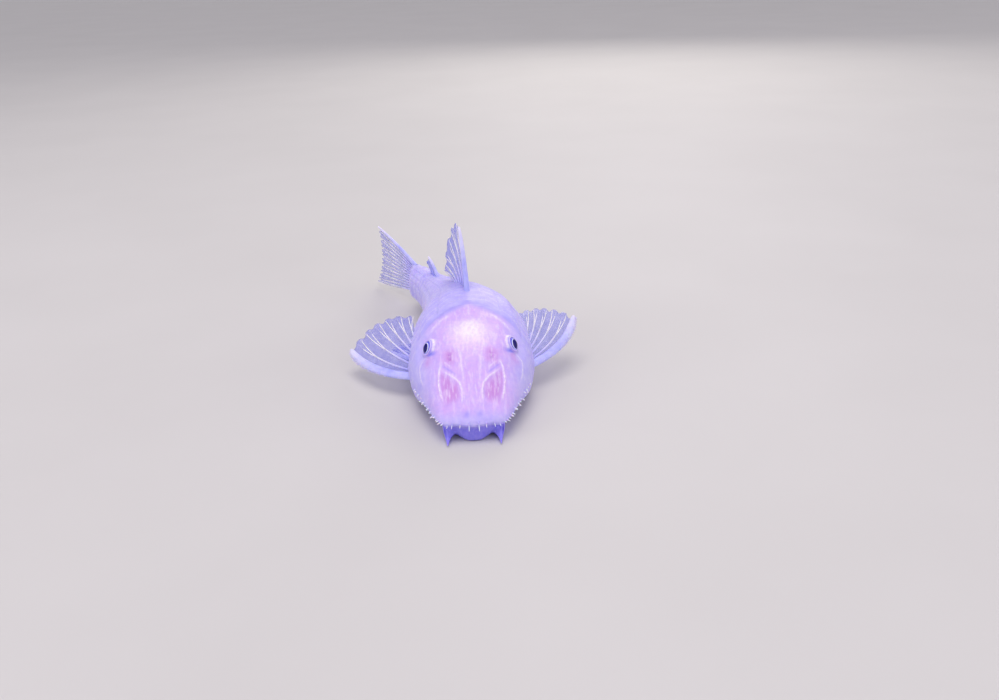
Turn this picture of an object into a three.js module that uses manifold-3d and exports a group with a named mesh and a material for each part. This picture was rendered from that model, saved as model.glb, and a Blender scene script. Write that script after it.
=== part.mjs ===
// A young pale bristlenose pleco at rest on a floor: sucker mouth and belly down, dorsal fin half
// raised, both pectoral fins fanned out and up, and the tail in a slight curve to the fish's right.
// Sizes are millimetres. While a piece is being made, its points are [x, s, z] on a straight fish:
// x is to the fish's left, s is the distance behind the tip of the snout and z is up from the floor.
import * as THREE from "three";
import Module from "manifold-3d";

const wasm = await Module();
wasm.setup();

// Driving sizes
const GAP = 0.3; // left between two pieces that meet
const STEM_END = 62; // where the tail stem ends inside the root of the tail fin
const ROUND_ABOVE = 2.25; // exponent of the body's section above its widest line
const ROUND_BELOW = 3.2; // and below it, where the belly is flat
const BEND_FROM = 22; // the body is straight as far as this
const BEND_TO = 60; // and bends evenly from there to here
const BEND_RATE = THREE.MathUtils.degToRad(0.8); // turn for each millimetre between the two

// The body at a few stations: s, half width, top, bottom, height of the widest line
const BODY = [
  [0, 0, 2.5, 2.0, 2.25],
  [1, 4.3, 4.0, 1.95, 2.5],
  [3, 5.7, 5.7, 1.9, 2.7],
  [6, 6.9, 7.7, 1.6, 2.9],
  [10, 8.4, 10.0, 0.6, 3.2],
  [14, 9.4, 11.6, -0.15, 3.5],
  [18, 9.8, 12.7, -0.2, 3.8],
  [23, 9.7, 13.6, -0.2, 4.2],
  [27, 9.0, 13.8, -0.2, 4.5],
  [33, 7.4, 12.8, -0.15, 4.8],
  [40, 5.8, 11.0, 0.5, 5.0],
  [48, 4.0, 9.2, 1.6, 5.2],
  [54, 2.9, 8.4, 2.1, 5.3],
  [60, 2.1, 8.4, 2.2, 5.4],
  [62, 0.9, 8.1, 2.6, 5.4],
];

// Where the head ends: furthest back on the nape, a little forward on the throat
const NECK_SIDE = 15.2;
const NECK_NAPE = 6.2;
const NECK_THROAT = -2;

// Bony plates: columns from the neck to the tail stem's end, in five rows on each side
const PLATE_COLUMNS = 24;
const TRUNK_COLUMNS = 13; // the rest belong to the tail stem
const PLATE_RISE = 0.26; // how far a plate's rear edge stands above the next plate
const PLATE_SCALLOP = 0.18; // how far its middle reaches back, as a share of its length
const ROW_EDGES = [-40, -8, 16, 38, 62, 90]; // section angles, in degrees
const ROW_STEPS = [0, 0.2, 0.5, 0.8];
const BELLY_ANGLES = [-90, -76, -62, -50];
const HEAD_RINGS = 20;

// Eyes, nostrils and the bristles along the edge of the snout
const EYE = { x: 6.15, s: 13.4, radius: 1.6, showing: 0.6 };
const LID = { outer: 1.95, inner: 1.3, rise: 0.42 };
const NOSTRIL = { x: 3.15, s: 9.7, radius: 0.42, apart: 0.85 };
const FRONT_BRISTLES = { count: 6, reach: 3.85, length: 0.9, radius: 0.27 };
const SIDE_BRISTLES = { count: 7, from: 2.9, to: 11.5, length: 0.6, radius: 0.3 };
const CORNER_BRISTLE = { s: 1.7, length: 1.15, radius: 0.33 };

// Mouth: an oval sucker with a bulge in the middle of its front edge and a barbel at each side
const MOUTH = { s: 4.9, halfLength: 4.2, halfWidth: 4.85, height: 1.9, points: 32 };
const LIP_DIP = { x: 2.7, width: 0.95, depth: 1.9 }; // on each side of the bulge
const BARBEL = { from: [4.3, 2.6, 0.95], to: [3.85, -1.5, 0.3], radius: 0.6, tip: 0.12 };

// Fins
const MEMBRANE = 0.25; // half the thickness of the skin between the rays
const RAY_STEPS = [0, 0.2, 0.4, 0.56, 0.7, 0.85, 1];
const FEW_STEPS = [0, 0.3, 0.56, 0.78, 1];
const FORK = 0.56; // where a soft ray divides, as a share of its length

const rad = THREE.MathUtils.degToRad;
const lerp = THREE.MathUtils.lerp;
const mix = (a, b, t) => a.map((v, i) => lerp(v, b[i], t));
const plus = (a, b, k = 1) => a.map((v, i) => v + k * b[i]);
const minus = (a, b) => plus(a, b, -1);
const cross = (a, b) => [
  a[1] * b[2] - a[2] * b[1],
  a[2] * b[0] - a[0] * b[2],
  a[0] * b[1] - a[1] * b[0],
];
const size = (a) => Math.hypot(...a);
const unit = (a) => a.map((v) => v / (size(a) || 1));

// A smooth curve through one column of a table. It runs on the root of s, which keeps the snout
// blunt, and never overshoots its stations.
function curveThrough(rows, column) {
  const t = rows.map((row) => Math.sqrt(row[0]));
  const v = rows.map((row) => row[column]);
  const last = t.length - 1;
  const rise = (i) => (v[i + 1] - v[i]) / (t[i + 1] - t[i]);
  const slope = v.map((_, i) => {
    if (i === 0) return rise(0);
    if (i === last) return rise(last - 1);
    const before = rise(i - 1);
    const after = rise(i);
    return before * after <= 0 ? 0 : (2 * before * after) / (before + after);
  });
  return (s) => {
    const x = Math.min(Math.max(Math.sqrt(Math.max(s, 0)), t[0]), t[last]);
    let i = 0;
    while (i < last - 1 && x > t[i + 1]) i++;
    const h = t[i + 1] - t[i];
    const f = (x - t[i]) / h;
    const g = 1 - f;
    return (
      v[i] * g * g * (1 + 2 * f) +
      v[i + 1] * f * f * (3 - 2 * f) +
      h * f * g * (slope[i] * g - slope[i + 1] * f)
    );
  };
}

const halfWidth = curveThrough(BODY, 1);
const top = curveThrough(BODY, 2);
const bottom = curveThrough(BODY, 3);
const widest = curveThrough(BODY, 4);

// The smooth body. An angle of -90 degrees is the belly's midline, 0 the widest line on the fish's
// left and 90 the back.
function bodyPoint(s, angle) {
  const c = Math.cos(angle);
  const d = Math.sin(angle);
  const power = 2 / (d >= 0 ? ROUND_ABOVE : ROUND_BELOW);
  const reach = d >= 0 ? top(s) - widest(s) : widest(s) - bottom(s);
  return [
    halfWidth(s) * Math.sign(c) * Math.abs(c) ** power,
    s,
    widest(s) + reach * Math.sign(d) * Math.abs(d) ** power,
  ];
}

function bodyNormal(s, angle) {
  const along = minus(bodyPoint(s + 0.05, angle), bodyPoint(Math.max(s - 0.05, 0.01), angle));
  const around = minus(bodyPoint(s, angle + 0.02), bodyPoint(s, angle - 0.02));
  return unit(cross(along, around));
}

// The section angles of a ring, with how far plates rise there: none on the belly or in the
// grooves between two rows
function ringAngles() {
  const half = BELLY_ANGLES.map((a) => ({ angle: rad(a), plate: 0, middle: 0 }));
  ROW_EDGES.slice(0, -1).forEach((edge, row) => {
    ROW_STEPS.forEach((share) =>
      half.push({
        angle: rad(lerp(edge, ROW_EDGES[row + 1], share)),
        plate: share === 0 ? 0 : 1,
        middle: 4 * share * (1 - share),
      }),
    );
  });
  half.push({ angle: rad(90), plate: 0.5, middle: 0 });
  const other = half.slice(1, -1).reverse();
  return [...half, ...other.map((a) => ({ ...a, angle: Math.PI - a.angle }))];
}
const RING = ringAngles();

function neckAt(angle) {
  const d = Math.sin(angle);
  return NECK_SIDE + (d > 0 ? NECK_NAPE * d ** 3 : NECK_THROAT * d * d);
}

const ring = (sAt, riseAt) =>
  RING.map((a) => {
    const s = sAt(a);
    const base = bodyPoint(s, a.angle);
    return plus(base, bodyNormal(s, a.angle), riseAt(a));
  });

// Rings of the head, closer together at the snout
function headRings() {
  const rings = [];
  for (let i = 1; i <= HEAD_RINGS; i++) {
    const share = (i / HEAD_RINGS) ** 1.7;
    rings.push(ring((a) => share * (neckAt(a.angle) - GAP / 2), () => 0));
  }
  return rings;
}

// Rings of the plates between two columns: each plate starts low and ends high, and the next one
// starts low again just behind it. Where two pieces meet, both stop short by half the gap.
function plateRings(from, to) {
  const placed = (column, a) => {
    const inside = column > from && column < to;
    const scallop = inside ? PLATE_SCALLOP * a.middle : 0;
    const start = neckAt(a.angle) + GAP / 2;
    const s = lerp(start, STEM_END - 1, (column + scallop) / PLATE_COLUMNS);
    if (column === from && from > 0) return s + GAP / 2;
    if (column === to && to < PLATE_COLUMNS) return s - GAP / 2;
    return s;
  };
  const rings = [];
  for (let column = from; column <= to; column++) {
    const early = column < to ? 0.1 : 0;
    const low = ring((a) => placed(column, a), () => 0);
    const high = ring((a) => placed(column, a) - early, (a) => PLATE_RISE * a.plate);
    if (column > from) rings.push(high);
    if (column < to) rings.push(low);
  }
  return rings;
}

function stemTip() {
  return [
    ring(() => STEM_END - 0.5, () => 0),
    ring(() => STEM_END, () => 0),
  ];
}

// A closed solid from points and triangles that share them
function solidFrom(points, triangles) {
  let volume = 0;
  for (const [a, b, c] of triangles) {
    const n = cross(points[a], points[b]);
    volume += n[0] * points[c][0] + n[1] * points[c][1] + n[2] * points[c][2];
  }
  const turned = volume < 0 ? triangles.map(([a, b, c]) => [a, c, b]) : triangles;
  return new wasm.Manifold(
    new wasm.Mesh({
      numProp: 3,
      vertProperties: new Float32Array(points.flat()),
      triVerts: new Uint32Array(turned.flat()),
    }),
  );
}

// Joins rings of equal count into a solid, closed at each end by a fan to one point
function loft(rings, start, end) {
  const count = rings[0].length;
  const points = [start, ...rings.flat(), end];
  const at = (i, j) => 1 + i * count + (j % count);
  const triangles = [];
  for (let j = 0; j < count; j++) {
    triangles.push([0, at(0, j + 1), at(0, j)]);
    triangles.push([points.length - 1, at(rings.length - 1, j), at(rings.length - 1, j + 1)]);
    for (let i = 0; i < rings.length - 1; i++) {
      triangles.push([at(i, j), at(i, j + 1), at(i + 1, j)]);
      triangles.push([at(i, j + 1), at(i + 1, j + 1), at(i + 1, j)]);
    }
  }
  return solidFrom(points, triangles);
}

const largest = (solid) =>
  solid.decompose().reduce((a, b) => (b.volume() > a.volume() ? b : a));
const onFloor = (solid) => solid.trimByPlane([0, 0, 1], 0);
const middleOf = (points) => {
  const sum = points.reduce((a, b) => plus(a, b));
  return [0, sum[1] / points.length, sum[2] / points.length];
};

const NOSE = [0, 0, widest(0)];

// The whole body, grown by the gap: what grows from the body is cut by it
function grownBody() {
  const rings = [
    ...headRings(),
    ...plateRings(0, PLATE_COLUMNS),
    ...stemTip(),
  ];
  const grown = rings.map((points, i) =>
    points.map((p, j) => {
      const before = rings[Math.max(i - 1, 0)][j];
      const after = rings[Math.min(i + 1, rings.length - 1)][j];
      const count = points.length;
      const around = minus(points[(j + 1) % count], points[(j + count - 1) % count]);
      return plus(p, unit(cross(minus(after, before), around)), GAP);
    }),
  );
  return loft(grown, plus(NOSE, [0, -GAP, 0]), [0, STEM_END + GAP, widest(STEM_END)]);
}

// Points round a circle that faces along an axis
function circle(centre, axis, radius, count) {
  const side = unit(cross(axis, Math.abs(axis[2]) > 0.8 ? [1, 0, 0] : [0, 0, 1]));
  const up = cross(side, axis);
  return Array.from({ length: count }, (_, k) => {
    const turn = (2 * Math.PI * k) / count;
    return plus(plus(centre, side, radius * Math.cos(turn)), up, radius * Math.sin(turn));
  });
}

// A round tapered spike along a curve of points, with the radius at each
function spike(path, radii, sides = 5) {
  const towards = (i) => unit(minus(path[i + 1], path[i]));
  const rings = path.slice(0, -1).map((p, i) => circle(p, towards(i), radii[i], sides));
  return loft(rings, path[0], path[path.length - 1]);
}

// Bristles along the snout's edge: one row across the front that hangs over the lip, a larger one
// at each corner and short ones back along the cheeks. Each is sunk well into the edge.
function bristles() {
  const made = [];
  const grow = (s, side, height, direction, length, radius) => {
    const root = bodyPoint(s, side > 0 ? rad(height) : rad(180 - height));
    const out = unit(direction);
    const path = [-0.6, 0.5 * length, length].map((reach) => plus(root, out, reach));
    path[2][2] -= 0.12;
    made.push(spike(path, [radius, radius * 0.75]));
  };
  const front = FRONT_BRISTLES;
  for (let k = 0; k < front.count; k++) {
    const x = lerp(-front.reach, front.reach, (k + 0.5) / front.count);
    let s = 0;
    while (halfWidth(s) < Math.abs(x)) s += 0.01;
    const length = front.length * (1 + 0.18 * Math.sin(5 * k));
    grow(s + 0.1, Math.sign(x), 10, [0.12 * x, -1, -0.75], length, front.radius);
  }
  for (const side of [-1, 1]) {
    const corner = CORNER_BRISTLE;
    grow(corner.s, side, 6, [side * 1.1, -0.75, -0.1], corner.length, corner.radius);
    const row = SIDE_BRISTLES;
    for (let k = 0; k < row.count; k++) {
      const share = k / (row.count - 1);
      const s = lerp(row.from, row.to, share);
      const length = row.length * (1.15 - 0.35 * share) * (1 + 0.15 * Math.sin(3 * k + side));
      grow(s, side, 2, [side, -0.5 + 0.2 * share, 0.15], length, row.radius);
    }
  }
  return made;
}

// The section angle at which the upper body is x from the middle
function angleAt(x, s) {
  const c = Math.min(Math.abs(x) / halfWidth(s), 1) ** (ROUND_ABOVE / 2);
  return x > 0 ? Math.acos(c) : Math.PI - Math.acos(c);
}

// An eyeball sunk in the head so that a low cap of it shows
function eyeAt(side) {
  const angle = angleAt(side * EYE.x, EYE.s);
  const axis = bodyNormal(EYE.s, angle);
  return { axis, centre: plus(bodyPoint(EYE.s, angle), axis, EYE.showing - EYE.radius) };
}

function ball(centre, radius, around = 14, steps = 8) {
  const across = [1, 0, 0];
  const rings = [];
  for (let i = 1; i < steps; i++) {
    const tilt = (Math.PI * i) / steps;
    const middle = plus(centre, across, radius * Math.cos(tilt));
    rings.push(circle(middle, across, radius * Math.sin(tilt), around));
  }
  return loft(rings, plus(centre, across, radius), plus(centre, across, -radius));
}

// The raised edge of skin round an eye: a low cone whose middle the socket takes away
function lid({ axis, centre }) {
  const skin = EYE.radius - EYE.showing;
  const outline = [
    [skin - 0.5, LID.outer + 0.4],
    [skin, LID.outer],
    [skin + LID.rise, lerp(LID.inner, LID.outer, 0.5)],
    [skin + LID.rise, LID.inner * 0.5],
  ];
  const rings = outline.map(([along, r]) => circle(plus(centre, axis, along), axis, r, 16));
  return loft(rings, plus(centre, axis, outline[0][0]), plus(centre, axis, outline[3][0]));
}

function head() {
  const rings = headRings();
  const end = middleOf(rings[rings.length - 1]);
  let solid = loft(rings, NOSE, end);
  for (const bristle of bristles()) solid = solid.add(bristle);
  for (const side of [-1, 1]) {
    const eye = eyeAt(side);
    solid = solid.add(lid(eye)).subtract(ball(eye.centre, EYE.radius + GAP));
    for (const part of [-0.5, 0.5]) {
      const s = NOSTRIL.s + part * NOSTRIL.apart;
      const place = bodyPoint(s, angleAt(side * NOSTRIL.x, s));
      solid = solid.subtract(ball(place, NOSTRIL.radius, 8, 6));
    }
  }
  return largest(onFloor(solid));
}

function trunk() {
  const rings = plateRings(0, TRUNK_COLUMNS);
  return largest(onFloor(loft(rings, middleOf(rings[0]), middleOf(rings[rings.length - 1]))));
}

function tailStem() {
  const rings = [...plateRings(TRUNK_COLUMNS, PLATE_COLUMNS), ...stemTip()];
  return largest(onFloor(loft(rings, middleOf(rings[0]), [0, STEM_END, widest(STEM_END)])));
}

// The sucker's outline: broad and squarish, with a bulge in the middle of its front edge
function mouthEdge(turn, scale) {
  const square = (v) => Math.sign(v) * Math.abs(v) ** (2 / 3);
  const x = MOUTH.halfWidth * square(Math.cos(turn));
  const forward = Math.max(0, -Math.sin(turn));
  const dip = LIP_DIP.depth * forward * Math.exp(-(((Math.abs(x) - LIP_DIP.x) / LIP_DIP.width) ** 2));
  return [scale * x, MOUTH.s + scale * (MOUTH.halfLength * square(Math.sin(turn)) + dip)];
}

// Lips around an open mouth, flat on the floor
function mouthSolid(grow) {
  const outline = [
    [0.3, 0.7],
    [0.42, -0.1],
    [0.86, -0.1],
    [0.98, 0.35],
    [1.0, 0.95],
    [0.94, MOUTH.height],
  ];
  const rings = outline.map(([scale, z], i) =>
    Array.from({ length: MOUTH.points }, (_, k) => {
      const [x, s] = mouthEdge((2 * Math.PI * k) / MOUTH.points, scale);
      return plus([x, s, z], unit([x, s - MOUTH.s, 0]), i > 1 ? grow : 0);
    }),
  );
  return loft(rings, [0, MOUTH.s, outline[0][1]], [0, MOUTH.s, MOUTH.height + grow]);
}

function barbelSolid(side) {
  const [from, to] = [BARBEL.from, BARBEL.to].map(([x, s, z]) => [side * x, s, z]);
  const path = [0, 0.3, 0.55, 0.8, 1].map((u) => {
    const bow = side * 0.25 * Math.sin(Math.PI * u);
    return plus(mix(from, to, u), [bow, 0, 0]);
  });
  const radii = [0, 0.3, 0.55, 0.8].map((u) => lerp(BARBEL.radius, BARBEL.tip, u));
  return spike(path, radii, 7);
}

// A fin ray: a curve from its root to its tip, pulled towards a third point
const rayPoint = ({ root, pull, tip }, u) =>
  root.map((v, i) => v * (1 - u) ** 2 + 2 * pull[i] * u * (1 - u) + tip[i] * u * u);

// A fin: its rays are ridges on one thin skin. The first ray is a stout spine, and each soft ray
// divides in two. Both faces are split into triangles alike.
function fin(rays, { spine = 0.62, soft = 0.42, lastEdge = 0.3, steps = RAY_STEPS } = {}) {
  const curve = (k, u) => {
    const inside = Math.min(Math.max(k, 0), rays.length - 1);
    const p = rayPoint(rays[inside], u);
    if (k === inside) return p;
    const other = rayPoint(rays[inside === 0 ? 1 : inside - 1], u);
    return plus(p, minus(p, other));
  };
  const between = (k, share, shrink = 1) => (u) =>
    mix(curve(k, u * shrink), curve(k + 1, u * shrink), share);
  const ridge = (root, tip) => (u) => lerp(root, tip, u);
  const flat = () => MEMBRANE;
  const columns = [
    { at: between(-1, 0.72), half: ridge(MEMBRANE + 0.05, MEMBRANE) },
    { at: between(0, 0), half: ridge(spine, soft * 0.8) },
    { at: between(0, 0.26), half: ridge(MEMBRANE + 0.05, MEMBRANE) },
    { at: between(0, 0.5, 0.95), half: flat },
  ];
  for (let k = 1; k < rays.length; k++) {
    const spread = (u) => (u <= FORK ? 0.14 : lerp(0.14, 0.26, (u - FORK) / (1 - FORK)));
    columns.push({ at: (u) => between(k - 1, 1 - spread(u))(u), half: ridge(soft, MEMBRANE + 0.06) });
    columns.push({
      at: (u) => between(k, 0, u > FORK ? lerp(1, 0.97, (u - FORK) / (1 - FORK)) : 1)(u),
      half: (u) => (u <= FORK ? lerp(soft, MEMBRANE + 0.06, u) : MEMBRANE),
    });
    columns.push({ at: (u) => between(k, spread(u))(u), half: ridge(soft, MEMBRANE + 0.06) });
    columns.push({ at: between(k, k < rays.length - 1 ? 0.5 : lastEdge + 0.2, 0.95), half: flat });
  }
  const grid = columns.map((column) => steps.map((u) => column.at(u)));
  const sides = [1, -1].map((face) =>
    grid.map((points, i) =>
      points.map((p, j) => {
        const across = minus(grid[Math.min(i + 1, grid.length - 1)][j], grid[Math.max(i - 1, 0)][j]);
        const along = minus(points[Math.min(j + 1, points.length - 1)], points[Math.max(j - 1, 0)]);
        return plus(p, unit(cross(across, along)), face * columns[i].half(steps[j]));
      }),
    ),
  );
  const rows = steps.length;
  const points = sides.flat(2);
  const at = (face, i, j) => face * columns.length * rows + i * rows + j;
  const triangles = [];
  const quad = (a, b, c, d) => triangles.push([a, b, c], [a, c, d]);
  for (let i = 0; i < columns.length - 1; i++) {
    for (let j = 0; j < rows - 1; j++) {
      triangles.push([at(0, i, j), at(0, i + 1, j), at(0, i + 1, j + 1)]);
      triangles.push([at(0, i, j), at(0, i + 1, j + 1), at(0, i, j + 1)]);
      triangles.push([at(1, i, j), at(1, i + 1, j + 1), at(1, i + 1, j)]);
      triangles.push([at(1, i, j), at(1, i, j + 1), at(1, i + 1, j + 1)]);
    }
    quad(at(0, i, 0), at(1, i, 0), at(1, i + 1, 0), at(0, i + 1, 0));
    quad(at(0, i + 1, rows - 1), at(1, i + 1, rows - 1), at(1, i, rows - 1), at(0, i, rows - 1));
  }
  const end = columns.length - 1;
  for (let j = 0; j < rows - 1; j++) {
    quad(at(0, 0, j + 1), at(1, 0, j + 1), at(1, 0, j), at(0, 0, j));
    quad(at(0, end, j), at(1, end, j), at(1, end, j + 1), at(0, end, j + 1));
  }
  return solidFrom(points, triangles);
}

// Rays between a first and a last one. Their tips follow a curve that bulges by tipBulge, and
// their pulls one that bulges by pullBulge.
function fan(count, first, last, tipBulge = [0, 0, 0], pullBulge = [0, 0, 0]) {
  return Array.from({ length: count }, (_, k) => {
    const q = k / (count - 1);
    const bulge = 4 * q * (1 - q);
    return {
      root: mix(first.root, last.root, q),
      pull: plus(mix(first.pull, last.pull, q), pullBulge, bulge),
      tip: plus(mix(first.tip, last.tip, q), tipBulge, bulge),
    };
  });
}

const mirrored = (rays) =>
  rays.map((ray) => ({
    root: [-ray.root[0], ray.root[1], ray.root[2]],
    pull: [-ray.pull[0], ray.pull[1], ray.pull[2]],
    tip: [-ray.tip[0], ray.tip[1], ray.tip[2]],
  }));

// The fish's left pectoral is swept further back and held higher than its right one
const PECTORAL_LEFT = fan(
  7,
  { root: [7.4, 16.4, 4.0], pull: [16.2, 21.6, 4.3], tip: [17.9, 30.0, 7.3] },
  { root: [8.2, 19.2, 5.1], pull: [9.0, 22.1, 8.1], tip: [8.0, 27.6, 9.2] },
  [-0.1, 2.1, 0.5],
  [-0.6, 1.1, 1.2],
);
const PECTORAL_RIGHT = mirrored(
  fan(
    7,
    { root: [7.4, 16.2, 3.7], pull: [16.8, 18.5, 2.7], tip: [20.4, 28.2, 3.6] },
    { root: [7.6, 19.4, 5.8], pull: [9.8, 21.9, 9.0], tip: [9.6, 27.1, 9.9] },
    [0.7, 1.9, 1.1],
    [-0.4, 1.1, 1.2],
  ),
);
const PELVIC_LEFT = fan(
  6,
  { root: [5.2, 27.6, 0.4], pull: [9.6, 31.0, 0.42], tip: [13.0, 37.6, 0.4] },
  { root: [5.0, 30.0, 0.4], pull: [6.7, 35.0, 0.42], tip: [7.8, 40.4, 0.4] },
  [0.6, 1.2, 0],
);

// The dorsal fin is half raised: its first rays stand up and its last ones lie back along the body
const DORSAL = { from: 26.8, to: 39.4, rays: 8, sink: 1.2, raised: 66, fallsFrom: 0.1, fallsTo: 0.85 };
function dorsalRays() {
  return Array.from({ length: DORSAL.rays }, (_, k) => {
    const q = k / (DORSAL.rays - 1);
    const s = lerp(DORSAL.from, DORSAL.to, q);
    const fall = THREE.MathUtils.smoothstep(q, DORSAL.fallsFrom, DORSAL.fallsTo);
    const lift = rad(DORSAL.raised * (1 - fall));
    const length = lerp(10.6, 6.4, fall) + (k === 0 ? -0.4 : 0.2);
    const lean = -lerp(0.4, 1.2, Math.sin(Math.PI * q));
    const reach = (more) => [0, length * Math.cos(lift + more), length * Math.sin(lift + more)];
    const base = [0, s, top(s)];
    return {
      root: plus(base, [0, -0.3, -DORSAL.sink]),
      pull: plus(plus(base, reach(0.2), 0.5), [lean * 0.2, 0, 0]),
      tip: plus(plus(base, reach(0)), [lean, 0, 0.35]),
    };
  });
}

const ADIPOSE = [
  { root: [0, 50.2, 8.4], pull: [0, 52.0, 10.6], tip: [0, 54.6, 11.7] },
  { root: [0, 53.2, 8.2], pull: [0, 54.4, 9.4], tip: [0, 55.6, 10.4] },
];
const ANAL = fan(
  5,
  { root: [0, 45.2, 2.6], pull: [0, 47.6, 1.15], tip: [0, 50.8, 0.42] },
  { root: [0, 48.6, 3.0], pull: [0, 50.6, 1.75], tip: [0, 53.4, 1.25] },
  [0, 0.5, -0.1],
);

// The tail fin: a fan of rays whose lower corner reaches furthest back
const CAUDAL = { rays: 14, top: 8.2, bottom: 3.2, root: 60.2 };
function caudalRays() {
  return Array.from({ length: CAUDAL.rays }, (_, k) => {
    const q = k / (CAUDAL.rays - 1);
    const side = 2 * q - 1;
    const z = lerp(CAUDAL.top, CAUDAL.bottom, q);
    const tipZ = lerp(13.6, 0.75, q);
    const tipS = 73.6 + 1.5 * side ** 2 + 1.4 * side + (side > 0 ? 1.0 * side ** 2 : 0);
    return {
      root: [0, CAUDAL.root, z],
      pull: [0, 67, lerp(10.9, 1.9, q)],
      tip: [-0.9 + 0.3 * side, tipS, tipZ],
    };
  });
}

// The bend of the tail, put on every point of a finished piece
function bent([x, s, z]) {
  const inside = Math.min(Math.max(s - BEND_FROM, 0), BEND_TO - BEND_FROM);
  const turn = BEND_RATE * inside;
  const beyond = Math.max(s - BEND_TO, 0);
  const arc = turn > 0 ? inside * (Math.sin(turn) / turn) : 0;
  const drift = turn > 0 ? inside * ((1 - Math.cos(turn)) / turn) : 0;
  return [
    x * Math.cos(turn) - drift - beyond * Math.sin(turn),
    Math.min(s, BEND_FROM) + arc + beyond * Math.cos(turn) + x * Math.sin(turn),
    z,
  ];
}

function meshOf(name, solid, material, shape = bent) {
  const { vertProperties, triVerts, numProp, numVert } = solid.getMesh();
  const points = new Float32Array(numVert * 3);
  for (let i = 0; i < numVert; i++) {
    points.set(shape([...vertProperties.subarray(i * numProp, i * numProp + 3)]), i * 3);
  }
  const geometry = new THREE.BufferGeometry();
  geometry.setAttribute("position", new THREE.BufferAttribute(points, 3));
  geometry.setIndex(new THREE.BufferAttribute(triVerts, 1));
  geometry.computeVertexNormals();
  const mesh = new THREE.Mesh(geometry, material);
  mesh.name = name;
  return mesh;
}

const paint = (color, roughness, extra = {}) =>
  new THREE.MeshStandardMaterial({ color, roughness, metalness: 0, ...extra });
const flesh = paint(0xd9c4ea, 0.45);
const lip = paint(0xb7a6e6, 0.5);
const finSkin = paint(0xc3bdf4, 0.4);
const eyeball = paint(0x3a3f7c, 0.12);

const body = grownBody();
const rooted = (solid, ...others) =>
  largest(onFloor(others.reduce((a, b) => a.subtract(b), solid.subtract(body))));

const animal = new THREE.Group();
const add = (...piece) => animal.add(meshOf(...piece));

add("head", head(), flesh);
add("trunk", trunk(), flesh);
add("tail_stem", tailStem(), flesh);
add("mouth_disc", rooted(mouthSolid(0)), lip);
const grownMouth = mouthSolid(GAP);
for (const [side, word] of [[1, "left"], [-1, "right"]]) {
  add(`barbel_${word}`, rooted(barbelSolid(side), grownMouth), lip);
  add(`eye_${word}`, ball(eyeAt(side).centre, EYE.radius), eyeball);
}

// The pectorals spread from the part of the body that is straight, so they keep their own shape
const straight = (point) => point;
add("pectoral_fin_left", rooted(fin(PECTORAL_LEFT)), finSkin, straight);
add("pectoral_fin_right", rooted(fin(PECTORAL_RIGHT)), finSkin, straight);
const pelvic = { spine: 0.5, soft: 0.36, steps: FEW_STEPS };
add("pelvic_fin_left", rooted(fin(PELVIC_LEFT, pelvic)), finSkin);
add("pelvic_fin_right", rooted(fin(mirrored(PELVIC_LEFT), pelvic)), finSkin);
add("dorsal_fin", rooted(fin(dorsalRays(), { spine: 0.7 })), finSkin);
const small = { spine: 0.45, soft: 0.34, steps: FEW_STEPS };
add("adipose_fin", rooted(fin(ADIPOSE, { ...small, lastEdge: 0.1 })), finSkin);
add("anal_fin", rooted(fin(ANAL, small)), finSkin);
add("caudal_fin", rooted(fin(caudalRays(), { spine: 0.5, soft: 0.38, steps: FEW_STEPS })), finSkin);

// The origin is on the floor under the middle of the whole animal, with its head towards -Y
const extent = new THREE.Box3().setFromObject(animal);
const centre = extent.getCenter(new THREE.Vector3());
animal.position.set(-centre.x, -centre.y, 0);

export default animal;
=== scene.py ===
"""A pale young bristlenose pleco at rest on a plain floor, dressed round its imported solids.

While a piece is being made, its points are [x, s, z] in millimetres on a straight fish: x is to the
fish's left, s is the distance behind the tip of the snout and z is up from the floor. The last step
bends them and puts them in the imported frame, in metres.
"""
import math
from dataclasses import dataclass

import bpy
import numpy as np
from mathutils import Matrix, Vector


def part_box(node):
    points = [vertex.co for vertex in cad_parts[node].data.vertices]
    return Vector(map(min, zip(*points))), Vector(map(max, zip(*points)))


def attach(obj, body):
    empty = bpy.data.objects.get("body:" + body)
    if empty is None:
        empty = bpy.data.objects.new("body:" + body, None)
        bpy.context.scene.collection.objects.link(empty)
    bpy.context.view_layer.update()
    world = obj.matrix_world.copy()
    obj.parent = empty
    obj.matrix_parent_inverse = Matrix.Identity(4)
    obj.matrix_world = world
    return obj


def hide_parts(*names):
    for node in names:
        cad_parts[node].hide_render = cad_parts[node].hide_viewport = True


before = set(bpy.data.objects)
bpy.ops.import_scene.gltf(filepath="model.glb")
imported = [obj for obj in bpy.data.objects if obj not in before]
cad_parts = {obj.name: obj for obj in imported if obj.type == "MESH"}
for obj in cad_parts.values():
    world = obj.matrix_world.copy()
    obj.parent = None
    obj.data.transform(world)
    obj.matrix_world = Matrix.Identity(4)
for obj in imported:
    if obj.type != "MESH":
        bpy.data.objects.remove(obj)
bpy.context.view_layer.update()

MM = 0.001
SIDES = {1: "left", -1: "right"}

# The picture, and where the camera stands: its turn, height angle and roll in degrees, and its
# distance from a point on the fish, which falls on a pixel of the picture
PICTURE = (999, 700)
FOCAL_PIXELS = 1000
SENSOR_MM = 36
VIEW_ANGLES = (-0.30, 24.0, -2.84)
VIEW_DISTANCE = 153.4
VIEW_TARGET = np.array([0.0, 12.0, 6.0])
VIEW_TARGET_PIXEL = (471.5, 371.2)

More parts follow.
